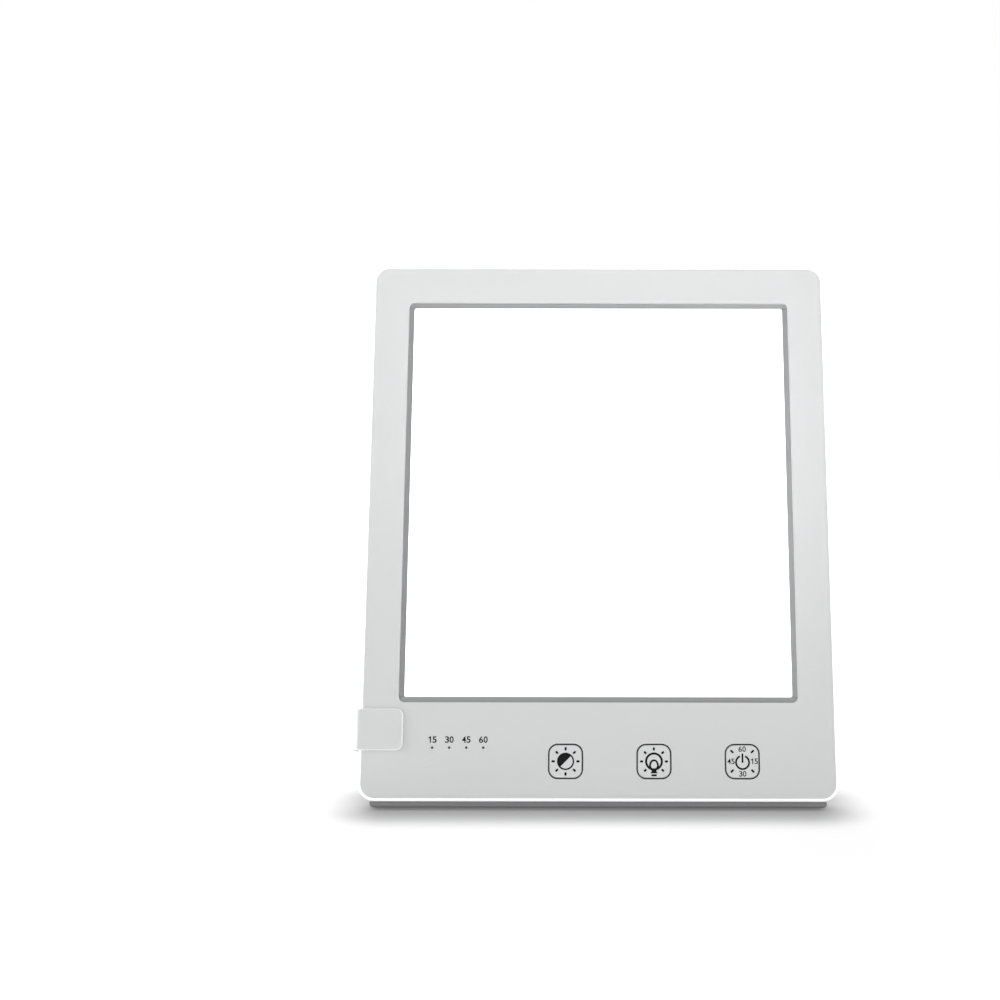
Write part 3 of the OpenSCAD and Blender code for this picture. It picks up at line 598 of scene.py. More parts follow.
def screenFinish():
    # woven dust screen, seen dark through the vent holes
    finish, tree, shader = newFinish("dustScreen")
    vector = objectVector(tree)
    threads = []
    for direction in ("X", "Z"):
        wave = addNode(tree, "ShaderNodeTexWave", bands_direction=direction)
        wave.inputs["Scale"].default_value = 900.0
        link(tree, vector, wave.inputs["Vector"])
        threads.append(wave.outputs["Fac"])
    weave = addMath(tree, "MAXIMUM", threads[0], threads[1])
    base = addNode(tree, "ShaderNodeRGB")
    base.outputs[0].default_value = (0.02, 0.02, 0.022, 1)
    tone = addScaled(tree, 0.3, weave, 1.2)
    link(tree, shadeColour(tree, base.outputs[0], tone), shader.inputs["Base Color"])
    shader.inputs["Roughness"].default_value = 0.7
    addBump(tree, shader, weave, 0.05)
    return finish


# colours are linear, as the shaders take them
whites = {
    "edge": (0.90, 0.903, 0.903),
    # face and leaf are the greys where the shell and the clip face the front, partly painted shade
    "face": (0.682, 0.686, 0.688),
    "key": (0.715, 0.719, 0.721),
    "cover": (0.76, 0.765, 0.768),
    "stand": (0.87, 0.873, 0.873),
    "leaf": (0.69, 0.694, 0.696),
}

finishes = {
    # shell and clip: white with a painted highlight on rounded edges; the last number is the strength of
    # that painted glow
    "shell": twoToneAndHighlightFinish("shellWhite", whites["edge"], whites["face"], 0.36, 0.92, 0.95, 0.45),
    "key": plasticFinish("keyFace", whites["key"], 0.48, grain=0.16, depth=0.005, tone=0.015),
    "cover": plasticFinish("coverWhite", whites["cover"], 0.46, grain=0.18, depth=0.007, tone=0.02),
    "clip": twoToneAndHighlightFinish("clipWhite", whites["edge"], whites["leaf"], 0.36, 0.86, 1.0, 0.1),
    "stand": plasticFinish("standWhite", whites["stand"], 0.4, grain=0.15, depth=0.004),
    "trim": plasticFinish(
        "trimGrey", (0.324, 0.326, 0.33), 0.32, grain=0.1, depth=0.002, tone=0.03, edge=0.08),
    "ink": plasticFinish(
        "printInk", (0.008, 0.008, 0.009), 0.6, grain=0.08, depth=0.002, tone=0.2, specular=0.08),
    "ring": plasticFinish(
        "ringBlack", (0.02, 0.02, 0.021), 0.5, grain=0.1, depth=0.003, tone=0.1, specular=0.1),
    "rubber": plasticFinish(
        "softGrey", (0.22, 0.22, 0.225), 0.78, grain=0.2, depth=0.02, tone=0.08, edge=0.12),
    "blackPlastic": plasticFinish(
        "blackPlastic", (0.018, 0.018, 0.02), 0.42, grain=0.12, depth=0.004, tone=0.1),
    "strip": plasticFinish("stripWhite", (0.86, 0.86, 0.83), 0.4, grain=0.1, depth=0.003),
    "ledYellow": plasticFinish("ledYellow", (0.86, 0.68, 0.16), 0.3, grain=0.08, depth=0.004, tone=0.06),
    "leadRed": plasticFinish("leadRed", (0.55, 0.02, 0.02), 0.4, grain=0.1, depth=0.004, tone=0.06),
    "partTan": plasticFinish("partTan", (0.42, 0.27, 0.15), 0.5, grain=0.1, depth=0.005, tone=0.12),
    "ivory": plasticFinish("connectorIvory", (0.8, 0.76, 0.64), 0.45, grain=0.12, depth=0.004),
    "ferrite": plasticFinish("ferriteGrey", (0.07, 0.07, 0.075), 0.6, grain=0.15, depth=0.01, tone=0.2),
    "aluminium": metalFinish("aluminiumSheet", (0.78, 0.79, 0.8), 0.32, 2500.0),
    "steel": metalFinish("steelBright", (0.62, 0.62, 0.63), 0.25, 4000.0),
    "opal": opalFinish(),
    "film": sheetFinish("filmWhite", (0.9, 0.9, 0.91), 0.6),
    "mirror": sheetFinish("reflectorWhite", (0.94, 0.94, 0.93), 0.25),
    "guide": sheetFinish("clearGuide", (0.93, 0.97, 0.99), 0.08, clear=0.8),
    "board": boardFinish(),
    "screen": screenFinish(),
}

nodeFinish = {
    "front_shell": "shell", "window_trim": "trim", "diffuser_plate": "opal", "diffusion_film": "film",
    "light_guide": "guide", "reflector_sheet": "mirror", "heat_plate": "aluminium",
    "led_strip_left": "strip", "led_strip_right": "strip", "leds_left": "ledYellow",
    "leds_right": "ledYellow", "heat_plate_screws": "steel", "control_board": "board",
    "board_screws": "steel", "tact_switches": "steel", "key_rings": "ring",
    "key_brightness": "key", "key_colour": "key", "key_power": "key",
    "post_brightness": "rubber", "post_colour": "rubber", "post_power": "rubber",
    "timer_light_pipes": "blackPlastic", "timer_leds": "ledYellow", "controller_chip": "blackPlastic",
    "driver_coil": "ferrite", "capacitors": "partTan", "lead_connectors": "ivory",
    "led_leads": "leadRed", "usb_socket": "steel", "usb_tongue": "blackPlastic",
    "port_surround": "blackPlastic", "back_cover": "cover", "vent_screens": "screen",
    "base_pad": "rubber", "stand_clip": "clip", "clip_pads": "rubber", "hinge_pin": "steel",
    "hinge_washers": "rubber", "stand_leg": "stand", "foot_pad": "rubber",
}


def dressNodes():
    for nodeName, finishName in nodeFinish.items():
        mesh = frame["nodes"][nodeName].data
        mesh.materials.clear()
        mesh.materials.append(finishes[finishName])


dressNodes()
print("finishes made")

shellValues = {
    "cornerR": 7.5, "frontR": 2.0, "rearR": 1.2, "wall": 2.2, "face": 2.0, "ledge": 1.5, "cover": 1.8,
    "sideMargin": 17.0, "topMargin": 18.0, "bottomMargin": 42.8, "windowR": 2.6, "openingEdge": 0.22,
    "portL": 14.4, "portW": 5.6, "portR": 1.2, "portEdge": 0.5, "keyOpeningR": 4.3,
    "bossD": 5.0, "screwD": 2.0, "screwBite": 3.1, "past": 3.0, "rim": 4.0,
    "screwHeadR": 1.9, "screwHeadT": 2.4, "portFrom": 3.0, "portTo": 12.0, "portTop": 40.0,
}

timerValues = {"height": 2.85, "z": 26.55, "texts": ("15", "30", "45", "60"), "weight": 0.02}
baseValues = {"heel": 9.0, "endR": 2.1, "endFrom": 0.5, "edge": 0.12, "rib": 1.2, "ribIn": 6.0,
              "ribGap": 0.05}
baseLow, baseHigh = uprightBox("base_pad")
trimHigh = uprightBox("window_trim")[1]
ringLow, ringHigh = uprightBox("key_rings")
pipeLow, pipeHigh = uprightBox("timer_light_pipes")
socketLow, socketHigh = uprightBox("usb_socket")
keyBoxes = {name: uprightBox(name) for name in ("key_brightness", "key_colour", "key_power")}
keyCentres = {name: (low + high) / 2 for name, (low, high) in keyBoxes.items()}


def ribBox(gap, bottom):
    # the rib that holds the base strip in a slot of the shell, less a gap all round
    half = Vector((baseHigh.x - baseValues["ribIn"] * mm - gap, (baseValues["rib"] / 2) * mm - gap))
    middle = (baseLow.y + baseHigh.y) / 2
    top = baseValues["rib"] * mm - 2 * gap
    return (-half.x, middle - half.y, bottom), (half.x, middle + half.y, top)


def panelSlab(name, inset, radius, fromY, toY):
    return addSlab(
        name, (panelLow.x + inset, fromY, inset), (panelHigh.x - inset, toY, panelH - inset), radius)


def windowSlab(name, inset, radius, fromY, toY):
    # as wide as the window opening, less the inset on every side
    v = shellValues
    return addSlab(
        name,
        (panelLow.x + v["sideMargin"] * mm + inset, fromY, v["bottomMargin"] * mm + inset),
        (panelHigh.x - v["sideMargin"] * mm - inset, toY, panelH - v["topMargin"] * mm - inset),
        radius)


def bossPlaces(node, count):
    # centres of a node's screws, found from its corner points
    low, high = uprightBox(node)
    head = shellValues["screwHeadR"] * mm
    xs = (low.x + head, high.x - head)
    lowZ, highZ = low.z + head, high.z - head
    zs = [lowZ + (highZ - lowZ) * i / (count - 1) for i in range(count)]
    return [(x, z) for x in xs for z in zs]


def buildShell():
    v = inMetres(shellValues)
    body = panelSlab("shellBody", 0, v["cornerR"], 0, panelT)
    roundEdges(body, v["frontR"], 8, lambda e, a, b: max(a.y, b.y) < hair)
    rear = panelT - hair
    roundEdges(body, v["rearR"], 5, lambda e, a, b: min(a.y, b.y) > rear)
    coverY = panelT - v["cover"]
    ledgeY = coverY - v["ledge"]
    wallR = v["cornerR"] - v["wall"]
    cut(body, panelSlab("pocket", v["wall"], wallR, v["face"], ledgeY))
    cut(body, panelSlab("step", v["wall"] + v["ledge"], wallR - v["ledge"], v["face"] + mm, coverY + mm))
    cut(body, panelSlab("seat", v["wall"], wallR, coverY, panelT + v["past"]))
    plateY = uprightBox("heat_plate_screws")[1].y - v["screwHeadT"]
    boardY = uprightBox("control_board")[0].y
    for node, count, top in (("heat_plate_screws", 3, plateY), ("board_screws", 2, boardY)):
        places = bossPlaces(node, count)
        posts = [addRod("boss", "Y", v["bossD"], (x, v["face"] - mm, z), (x, top, z), 32) for x, z in places]
        fuse(body, joinPieces("bosses", posts))
        holes = [addRod("hole", "Y", v["screwD"], (x, top - v["screwBite"], z), (x, top + mm, z), 24)
                 for x, z in places]
        cut(body, joinPieces("holes", holes))
    cut(body, windowSlab("window", 0, v["windowR"], -v["past"], v["face"] + mm))
    openingHalf = (ringHigh.z - ringLow.z) / 2
    for centre in keyCentres.values():
        half = Vector((openingHalf, 0, openingHalf))
        low = Vector((centre.x, -v["past"], centre.z)) - half
        high = Vector((centre.x, v["face"] + mm, centre.z)) + half
        cut(body, addSlab("keyOpening", low, high, v["keyOpeningR"]))
    pipeD = pipeHigh.z - pipeLow.z
    pipeZ = (pipeLow.z + pipeHigh.z) / 2
    count = len(timerValues["texts"])
    pipeStep = (pipeHigh.x - pipeLow.x - pipeD) / (count - 1)
    pipes = [pipeLow.x + pipeD / 2 + i * pipeStep for i in range(count)]
    holes = [addRod("pipeHole", "Y", pipeD, (x, -v["past"], pipeZ), (x, v["face"] + mm, pipeZ), 32)
             for x in pipes]
    cut(body, joinPieces("pipeHoles", holes))
    portY = (socketLow.y + socketHigh.y) / 2
    portZ = (socketLow.z + socketHigh.z) / 2
    port = addSlab(
        "port",
        (panelHigh.x - v["wall"] - mm, portY - v["portW"] / 2, portZ - v["portL"] / 2),
        (panelHigh.x + v["past"], portY + v["portW"] / 2, portZ + v["portL"] / 2),
        v["portR"], axis=0)
    cut(body, port)
    cut(body, addBlock("ribSlot", *ribBox(0, -mm)))

    def onFaceOpening(edge, a, b):
        flat = max(a.y, b.y) < hair
        rim = v["rim"]
        inside = all(abs(p.x) < panelHigh.x - rim and rim < p.z < panelH - rim for p in (a, b))
        return flat and inside and isCrisp(edge)

    roundEdges(body, v["openingEdge"], 3, onFaceOpening)
    wallX = panelHigh.x - hair

    def onPort(edge, a, b):
        inside = all(v["portFrom"] < p.y < v["portTo"] and p.z < v["portTop"] for p in (a, b))
        return min(a.x, b.x) > wallX and inside and isCrisp(edge)

    roundEdges(body, v["portEdge"], 3, onPort)
    finishPiece(body, "shellBody", "panel", "shell", ["front_shell"])
    return pipes, pipeZ


pipeXs, pipeZ = buildShell()
print("shell built")

trimValues = {"width": 2.4, "slope": 0.9, "fit": 0.05, "outerR": 2.55, "innerR": 1.0, "flange": 1.8,
              "inset": 0.3, "lip": 1.0, "hold": 1.1, "edge": 0.15}


def buildTrim():
    v = inMetres(trimValues)
    face = shellValues["face"] * mm
    back = trimHigh.y
    ring = windowSlab("trimRing", v["fit"], v["outerR"], v["inset"], back)
    pickFaces(ring, lambda c, n: n.y < -0.99)
    bpy.ops.mesh.inset(thickness=v["width"] - 2 * v["fit"])
    leaveEdit()
    outer = panelHigh.x - shellValues["sideMargin"] * mm - v["width"] + v["fit"]
    lowZ = shellValues["bottomMargin"] * mm + v["width"] - v["fit"]
    highZ = panelH - shellValues["topMargin"] * mm - v["width"] + v["fit"]
    front = v["inset"] + hair
    for vertex in ring.data.vertices:
        spot = vertex.co
        inside = abs(spot.x) < outer and lowZ < spot.z < highZ
        if spot.y < front and not inside:
            spot.y += v["slope"]
    flange = windowSlab("flange", -v["flange"], shellValues["windowR"] * mm, face, back)
    fuse(ring, flange, solver="EXACT")
    cut(ring, windowSlab("view", v["width"], v["innerR"], -mm, back + mm), solver="EXACT")
    seat = windowSlab("seat", v["width"] - v["hold"], v["innerR"], v["inset"] + v["lip"], back + mm)
    cut(ring, seat, solver="EXACT")
    roundEdges(ring, v["edge"], 3, lambda e, a, b: max(a.y, b.y) < front and isCrisp(e, 50))
    finishPiece(ring, "trimRing", "panel", "trim", ["window_trim"], degrees=30)


buildTrim()
print("trim built")

# printed marks are thin ink solids, sunk a little into what carries them
inkValues = {"proud": 0.02, "sunk": 0.05, "round": 0.3, "arcSteps": 64}
inkFront = -inkValues["proud"] * mm
inkBack = inkValues["sunk"] * mm
inkMid = (inkFront + inkBack) / 2
inkDepth = inkBack - inkFront


def inkBar(name, width, height, x=0, z=0, angle=0):
    # upright bar centred on (x, z), turned clockwise as seen from the front
    radius = min(width, height) * inkValues["round"]
    low, high = (-width / 2, inkFront, -height / 2), (width / 2, inkBack, height / 2)
    bar = addSlab(name, low, high, radius, segments=4)
    applyPlace(bar, Matrix.Translation((x, 0, z)) @ Matrix.Rotation(math.radians(angle), 4, "Y"))
    return bar


def inkArc(name, diameter, stroke, gap=0, x=0, z=0):
    # ring of an outer diameter, open by the gap (in degrees) at its top
    radius = (diameter - stroke) / 2
    ring = addNew(name, bpy.ops.mesh.primitive_plane_add, size=1, location=(0, inkMid, 0))
    ring.scale = (stroke, inkDepth, 1)
    applyPlace(ring)
    turn = Matrix.Rotation(math.radians(-90 - gap / 2), 4, "Y")  # spin turns towards the left
    applyPlace(ring, turn @ Matrix.Translation((radius, 0, 0)))
    editWhole(ring)
    if gap == 0:
        bpy.ops.mesh.delete(type="ONLY_FACE")
        bpy.ops.mesh.select_all(action="SELECT")
    bpy.ops.mesh.spin(steps=inkValues["arcSteps"], angle=math.radians(360 - gap), center=(0, 0, 0),
                      axis=(0, 1, 0), dupli=False, use_auto_merge=True)
    leaveEdit()
    tidyNormals(ring)
    applyPlace(ring, Matrix.Translation((x, 0, z)))
    return ring


# shape of a digit, as shares of its height; the 1 is a bar with a flag
digitValues = {"wide": 0.63, "step": 0.70, "oneShift": 0.06, "stroke": 0.17, "flag": 0.36, "flagTilt": 52}


def inkOne(name, height, x, z):
    d = {key: value * height for key, value in digitValues.items()}
    bar = inkBar(name, d["stroke"], height, x + d["oneShift"], z)
    tilt = math.radians(digitValues["flagTilt"])
    flagX = x + d["oneShift"] - d["flag"] / 2 * math.sin(tilt)
    flagZ = z + (height - d["stroke"]) / 2 - d["flag"] / 2 * math.cos(tilt)
    return [bar, inkBar(name, d["stroke"], d["flag"], flagX, flagZ, digitValues["flagTilt"])]


def inkDigit(name, digit, height, x, z, weight):
    if digit == "1":
        return inkOne(name, height, x, z)
    label = addNew(name, bpy.ops.object.text_add, location=(0, 0, 0))
    label.data.body = digit
    label.data.size = height
    label.data.offset = weight * height
    label.data.extrude = 0.5 * height
    label.data.resolution_u = 6
    bpy.ops.object.convert(target="MESH")
    label = bpy.context.active_object
    label.name = name
    xs = [v.co.x for v in label.data.vertices]
    ys = [v.co.y for v in label.data.vertices]
    width = digitValues["wide"] * height
    middle = Matrix.Translation((-(min(xs) + max(xs)) / 2, -(min(ys) + max(ys)) / 2, 0))
    size = Matrix.Diagonal((width / (max(xs) - min(xs)), height / (max(ys) - min(ys)), inkDepth / height, 1))
    upright = Matrix.Translation((x, inkMid, z)) @ Matrix.Rotation(math.radians(90), 4, "X")
    applyPlace(label, upright @ size @ middle)
    tidyNormals(label)
    return [label]


def inkNumber(name, text, height, x, z, weight):
    # a number's digits, centred on (x, z)
    step = digitValues["step"] * height
    first = x - step * (len(text) - 1) / 2
    digits = []
    for i, digit in enumerate(text):
        digits += inkDigit(name, digit, height, first + i * step, z, weight)
    return digits


def inkRays(name, count, inner, outer, width, skip=()):
    rays = []
    middle = (inner + outer) / 2
    for i in range(count):
        if i in skip:
            continue
        angle = 360 / count * i
        turn = math.radians(angle)
        x, z = middle * math.sin(turn), middle * math.cos(turn)
        rays.append(inkBar(name, width, outer - inner, x, z, angle))
    return rays


def buildTimerNumbers():
    v = timerValues
    labels = []
    for text, x in zip(v["texts"], pipeXs):
        labels += inkNumber("timerNumber", text, v["height"] * mm, x, v["z"] * mm, v["weight"])
    finishPiece(joinPieces("timerNumbers", labels), "timerNumbers", "panel", "ink")


buildTimerNumbers()
print("timer numbers printed")

keyValues = {"size": 14.1, "cornerR": 3.65, "lipT": 0.6, "edge": 0.3, "openingR": 4.3}


def buildKeyCap():
    # one cap about the origin, copied to the three keys
    v = inMetres(keyValues)
    back = keyBoxes["key_power"][1].y
    half = v["size"] / 2
    cap = addSlab("keyCap", (-half, 0, -half), (half, back, half), v["cornerR"])
    roundEdges(cap, v["edge"], 3, lambda e, a, b: max(a.y, b.y) < hair)
    reach = (keyBoxes["key_power"][1].x - keyBoxes["key_power"][0].x) / 2
    fuse(cap, addSlab("keyLip", (-reach, back - v["lipT"], -reach), (reach, back, reach), v["openingR"]))
    return cap


def halfDisc(name, diameter):
    # the upper-left half of a disc
    disc = addRod(name, "Y", diameter, (0, inkFront, 0), (0, inkBack, 0), 64)
    slicePiece(disc, (0, 0, 0), (1, 0, -1), use_fill=True, clear_outer=True)
    return disc


brightnessMark = {"disc": 7.5, "stroke": 0.66, "rayIn": 4.68, "rayOut": 6.16, "rayW": 0.9}


def brightnessLegend():
    v = inMetres(brightnessMark)
    parts = [inkArc("disc", v["disc"], v["stroke"]), halfDisc("shade", v["disc"] - v["stroke"])]
    return parts + inkRays("ray", 8, v["rayIn"], v["rayOut"], v["rayW"])


colourMark = {"bulb": 7.8, "stroke": 0.92, "rayIn": 4.72, "rayOut": 6.1, "rayW": 0.9, "filament": 0.8,
              "neckW": 2.1, "baseW": 3.5, "baseTop": -3.35, "baseFoot": -5.1, "flare": 0.75, "barW": 2.4,
              "barH": 0.82, "barZ": -5.95}
# the filament's loop, half of it, from its foot beside the base up to its peak
filamentPoints = [(0.9, -3.7), (1.72, -1.55), (0, 0.5)]


def filamentLoop(thickness):
    loop = addNew("filament", bpy.ops.curve.primitive_bezier_curve_add, radius=mm, location=(0, 0, 0))
    spline = loop.data.splines[0]
    right = [Vector((x, z, 0)) * mm for x, z in filamentPoints]
    left = [Vector((-p.x, p.y, 0)) for p in reversed(right[:-1])]
    spots = right + left
    spline.bezier_points.add(len(spots) - len(spline.bezier_points))
    for point, spot in zip(spline.bezier_points, spots):
        point.co = spot
        point.handle_left_type = "AUTO"
        point.handle_right_type = "AUTO"
    loop.data.resolution_u = 10
    loop.data.extrude = inkDepth / 2
    bpy.ops.object.convert(target="MESH")
    loop = bpy.context.active_object
    applyModifier(loop, "SOLIDIFY", thickness=thickness, offset=0)
    applyPlace(loop, Matrix.Translation((0, inkMid, 0)) @ Matrix.Rotation(math.radians(90), 4, "X"))
    tidyNormals(loop)
    return loop


def colourLegend():
    v = inMetres(colourMark)
    parts = [inkArc("bulb", v["bulb"], v["stroke"]), filamentLoop(v["filament"])]
    neck = v["neckW"] / 2
    base = addBlock("base", (-neck, inkFront, v["baseFoot"]), (neck, inkBack, v["baseTop"]))
    slicePiece(base, (0, 0, v["baseFoot"] + v["flare"]), (0, 0, 1))
    for vertex in base.data.vertices:
        if vertex.co.z < v["baseFoot"] + hair:
            vertex.co.x *= v["baseW"] / v["neckW"]
    parts.append(base)
    parts.append(inkBar("foot", v["barW"], v["barH"], 0, v["barZ"]))
    return parts + inkRays("ray", 8, v["rayIn"], v["rayOut"], v["rayW"], skip=(4,))


powerMark = {"ring": 6.5, "stroke": 0.78, "gap": 46, "ringX": 0.08, "ringZ": -0.35, "barW": 0.76,
             "barTop": 3.5, "barFoot": -0.55, "tickX": 4.48, "tickZ": 4.2, "tickShift": 0.13, "tickL": 1.75, "tickW": 0.82,
             "textH": 2.4}
powerNumbers = {"weight": 0.012,
                "places": [("60", 0, 5.4), ("15", 5.2, 0.15), ("30", 0.05, -5.25), ("45", -4.95, 0.1)]}


def powerLegend():
    v = inMetres(powerMark)
    parts = [inkArc("ring", v["ring"], v["stroke"], powerMark["gap"], v["ringX"], v["ringZ"])]
    barL = v["barTop"] - v["barFoot"]
    parts.append(inkBar("bar", v["barW"], barL, v["ringX"], (v["barTop"] + v["barFoot"]) / 2))
    for sideX in (-1, 1):
        for sideZ in (-1, 1):
            tilt = 45 * sideX * sideZ
            parts.append(inkBar("tick", v["tickW"], v["tickL"], sideX * v["tickX"],
                                sideZ * v["tickZ"] + v["tickShift"], tilt))
    for text, x, z in powerNumbers["places"]:
        parts += inkNumber("number", text, v["textH"], x * mm, z * mm, powerNumbers["weight"])
    return parts


keyList = [
    ("key_brightness", "brightness_key", "Brightness", brightnessLegend),
    ("key_colour", "colour_key", "Colour", colourLegend),
    ("key_power", "power_key", "Power", powerLegend),
]


def buildKeys():
    cap = buildKeyCap()
    for node, body, word, legend in keyList:
        centre = keyCentres[node]
        place = Matrix.Translation((centre.x, 0, centre.z))
        key = copyPiece(cap, "keyCap" + word, place)
        finishPiece(key, "keyCap" + word, body, "key", [node])
        mark = joinPieces("legend" + word, legend())
        applyPlace(mark, place)
        finishPiece(mark, "legend" + word, body, "ink")
    bpy.data.objects.remove(cap, do_unlink=True)


buildKeys()
print("keys built")

coverValues = {"cornerR": 4.95, "edge": 0.45, "ventD": 1.45, "pitch": 3.13, "columns": 15, "rows": 6,
               "ventZ": 11.2, "ventIn": 3.0, "ventOut": 2.0, "border": 2.2, "hookW": 8.0, "hookT": 1.3,
               "hookTail": 2.2, "catch": 0.8, "catchGap": 0.1, "barbIn": 0.5, "sunk": 0.2,
               "hookInset": 3.8, "ribT": 1.2, "ribH": 2.0}
hookPlaces = {"fromBottom": 42.0, "fromTop": 38.0, "fromSide": 33.0, "offMiddle": 4.0}
coverLow = uprightBox("back_cover")[0]
screenLow, screenHigh = uprightBox("vent_screens")


def ventField(firstX, step):
    # one hole, repeated along the row and then up the rows
    v = inMetres(coverValues)
    z = v["ventZ"]
    inner, outer = panelT - v["ventIn"], panelT + v["ventOut"]
    hole = addRod("vent", "Y", v["ventD"], (firstX, inner, z), (firstX, outer, z), 20)
    rows = ((coverValues["columns"], (step, 0, 0)), (coverValues["rows"], (0, 0, v["pitch"])))
    for count, offset in rows:
        applyModifier(hole, "ARRAY", count=count, use_relative_offset=False, use_constant_offset=True,
                      constant_offset_displace=offset)
    return hole


def buildHook():
    # snap hook at the origin, its catch towards +x, standing down from the cover
    v = inMetres(coverValues)
    coverY = panelT - shellValues["cover"] * mm
    ledgeY = coverY - shellValues["ledge"] * mm
    deep = shellValues["ledge"] * mm + v["hookTail"]
    half = v["hookW"] / 2
    arm = addBlock("hook", (-v["hookT"], coverY - deep, -half), (0, coverY + v["sunk"], half))
    catchTop = ledgeY - v["catchGap"]
    barb = addBlock("barb", (-v["barbIn"], coverY - deep, -half), (v["catch"], catchTop, half))
    for vertex in barb.data.vertices:
        if vertex.co.y < coverY - deep + hair and vertex.co.x > 0:
            vertex.co.x = 0
            vertex.co.y = coverY - deep
    fuse(arm, barb)
    return arm


def buildCoverRibs():
    # stiffening ribs on the cover's inner side: two upright, two level
    v = inMetres(coverValues)
    coverY = panelT - shellValues["cover"] * mm
    lowZ = shellValues["bottomMargin"] * mm
    highZ = panelH - shellValues["topMargin"] * mm
    reach = panelHigh.x - (shellValues["sideMargin"] * mm + trimValues["width"] * mm)
    ribs = []
    for x in (-reach / 2, reach / 2):
        ribs.append(addBlock("ribUpright", (x - v["ribT"] / 2, coverY - v["ribH"], lowZ),
                             (x + v["ribT"] / 2, coverY + v["sunk"], highZ)))
    for z in (lowZ, highZ):
        ribs.append(addBlock("ribLevel", (-reach, coverY - v["ribH"] + hair, z - v["ribT"] / 2),
                             (reach, coverY + v["sunk"] / 2, z + v["ribT"] / 2)))
    return ribs


def buildBackCover():
    v = inMetres(coverValues)
    coverY = panelT - shellValues["cover"] * mm
    plate = panelSlab("backPlate", coverLow.x - panelLow.x, v["cornerR"], coverY, panelT)
    rear = panelT - hair
    roundEdges(plate, v["edge"], 4, lambda e, a, b: min(a.y, b.y) > rear)
    firstRight = screenHigh.x - v["border"]
    firstLeft = screenLow.x + v["border"]
    cut(plate, ventField(firstRight, -v["pitch"]), ventField(firstLeft, v["pitch"]))
    hook = buildHook()
    h = inMetres(hookPlaces)
    middleZ = (shellValues["bottomMargin"] * mm + panelH - shellValues["topMargin"] * mm) / 2
    hooks = []
    inset = v["hookInset"]
    for z in (h["fromBottom"], middleZ, panelH - h["fromTop"]):
        for side in (0, 180):
            turn = Matrix.Rotation(math.radians(side), 4, "Y")
            x = (panelHigh.x - inset) * (1 if side == 0 else -1)
            hooks.append(copyPiece(hook, "hookSide", Matrix.Translation((x, 0, z)) @ turn))
    for x in (panelLow.x + h["fromSide"], -h["offMiddle"], panelHigh.x - h["fromSide"]):
        for z, tilt in ((panelH - inset, -90), (inset, 90)):
            turn = Matrix.Rotation(math.radians(tilt), 4, "Y")
            hooks.append(copyPiece(hook, "hookEnd", Matrix.Translation((x, 0, z)) @ turn))
    bpy.data.objects.remove(hook, do_unlink=True)
    fuse(plate, joinPieces("hooks", hooks), *buildCoverRibs())
    finishPiece(plate, "backPlate", "panel", "cover", ["back_cover"])


buildBackCover()
print("back cover built")


def buildBase():
    v = inMetres(baseValues)
    # the strip's dark grey is partly a rubber foot's own colour and partly painted shade, standing where the
    # panel's underside lies in shadow
    strip = addBlock("baseStrip", (baseLow.x, baseLow.y, baseLow.z), (baseHigh.x, baseHigh.y, 0))
    slicePiece(strip, (0, v["heel"], 0), (0, 1, 0))
    for vertex in strip.data.vertices:
        if vertex.co.z < baseLow.z + hair and vertex.co.y > v["heel"] + hair:
            vertex.co.z += (vertex.co.y - v["heel"]) * math.tan(leanAngle)

    def endEdge(edge, a, b):
        atEnd = min(abs(a.x), abs(b.x)) > baseHigh.x - hair
        return atEnd and max(a.z, b.z) < -v["endFrom"]

    roundEdges(strip, v["endR"], 8, endEdge)
    roundEdges(strip, v["edge"], 3, lambda e, a, b: isCrisp(e, 40) and max(a.y, b.y) < baseLow.y + hair
               and min(a.z, b.z) < -hair)
    fuse(strip, addBlock("rib", *ribBox(v["ribGap"], -mm)))
    finishPiece(strip, "baseStrip", "panel", "rubber", ["base_pad"])


buildBase()
print("base strip built")

standValues = {"gap": 0.3, "plateT": 2.6, "reach": 19.5, "foldR": 4.2, "cornerR": 3.0, "foldEndR": 1.6,
               "plateR": 6.0, "clipH": 18.3, "earL": 7.0, "knuckleR": 3.2, "pinD": 3.0,
               "leafEdge": 0.75, "edge": 0.4, "stripW": 46.0, "hingeIn": 2.0, "earEdge": 0.3}
standLow, standHigh = uprightBox("stand_clip")


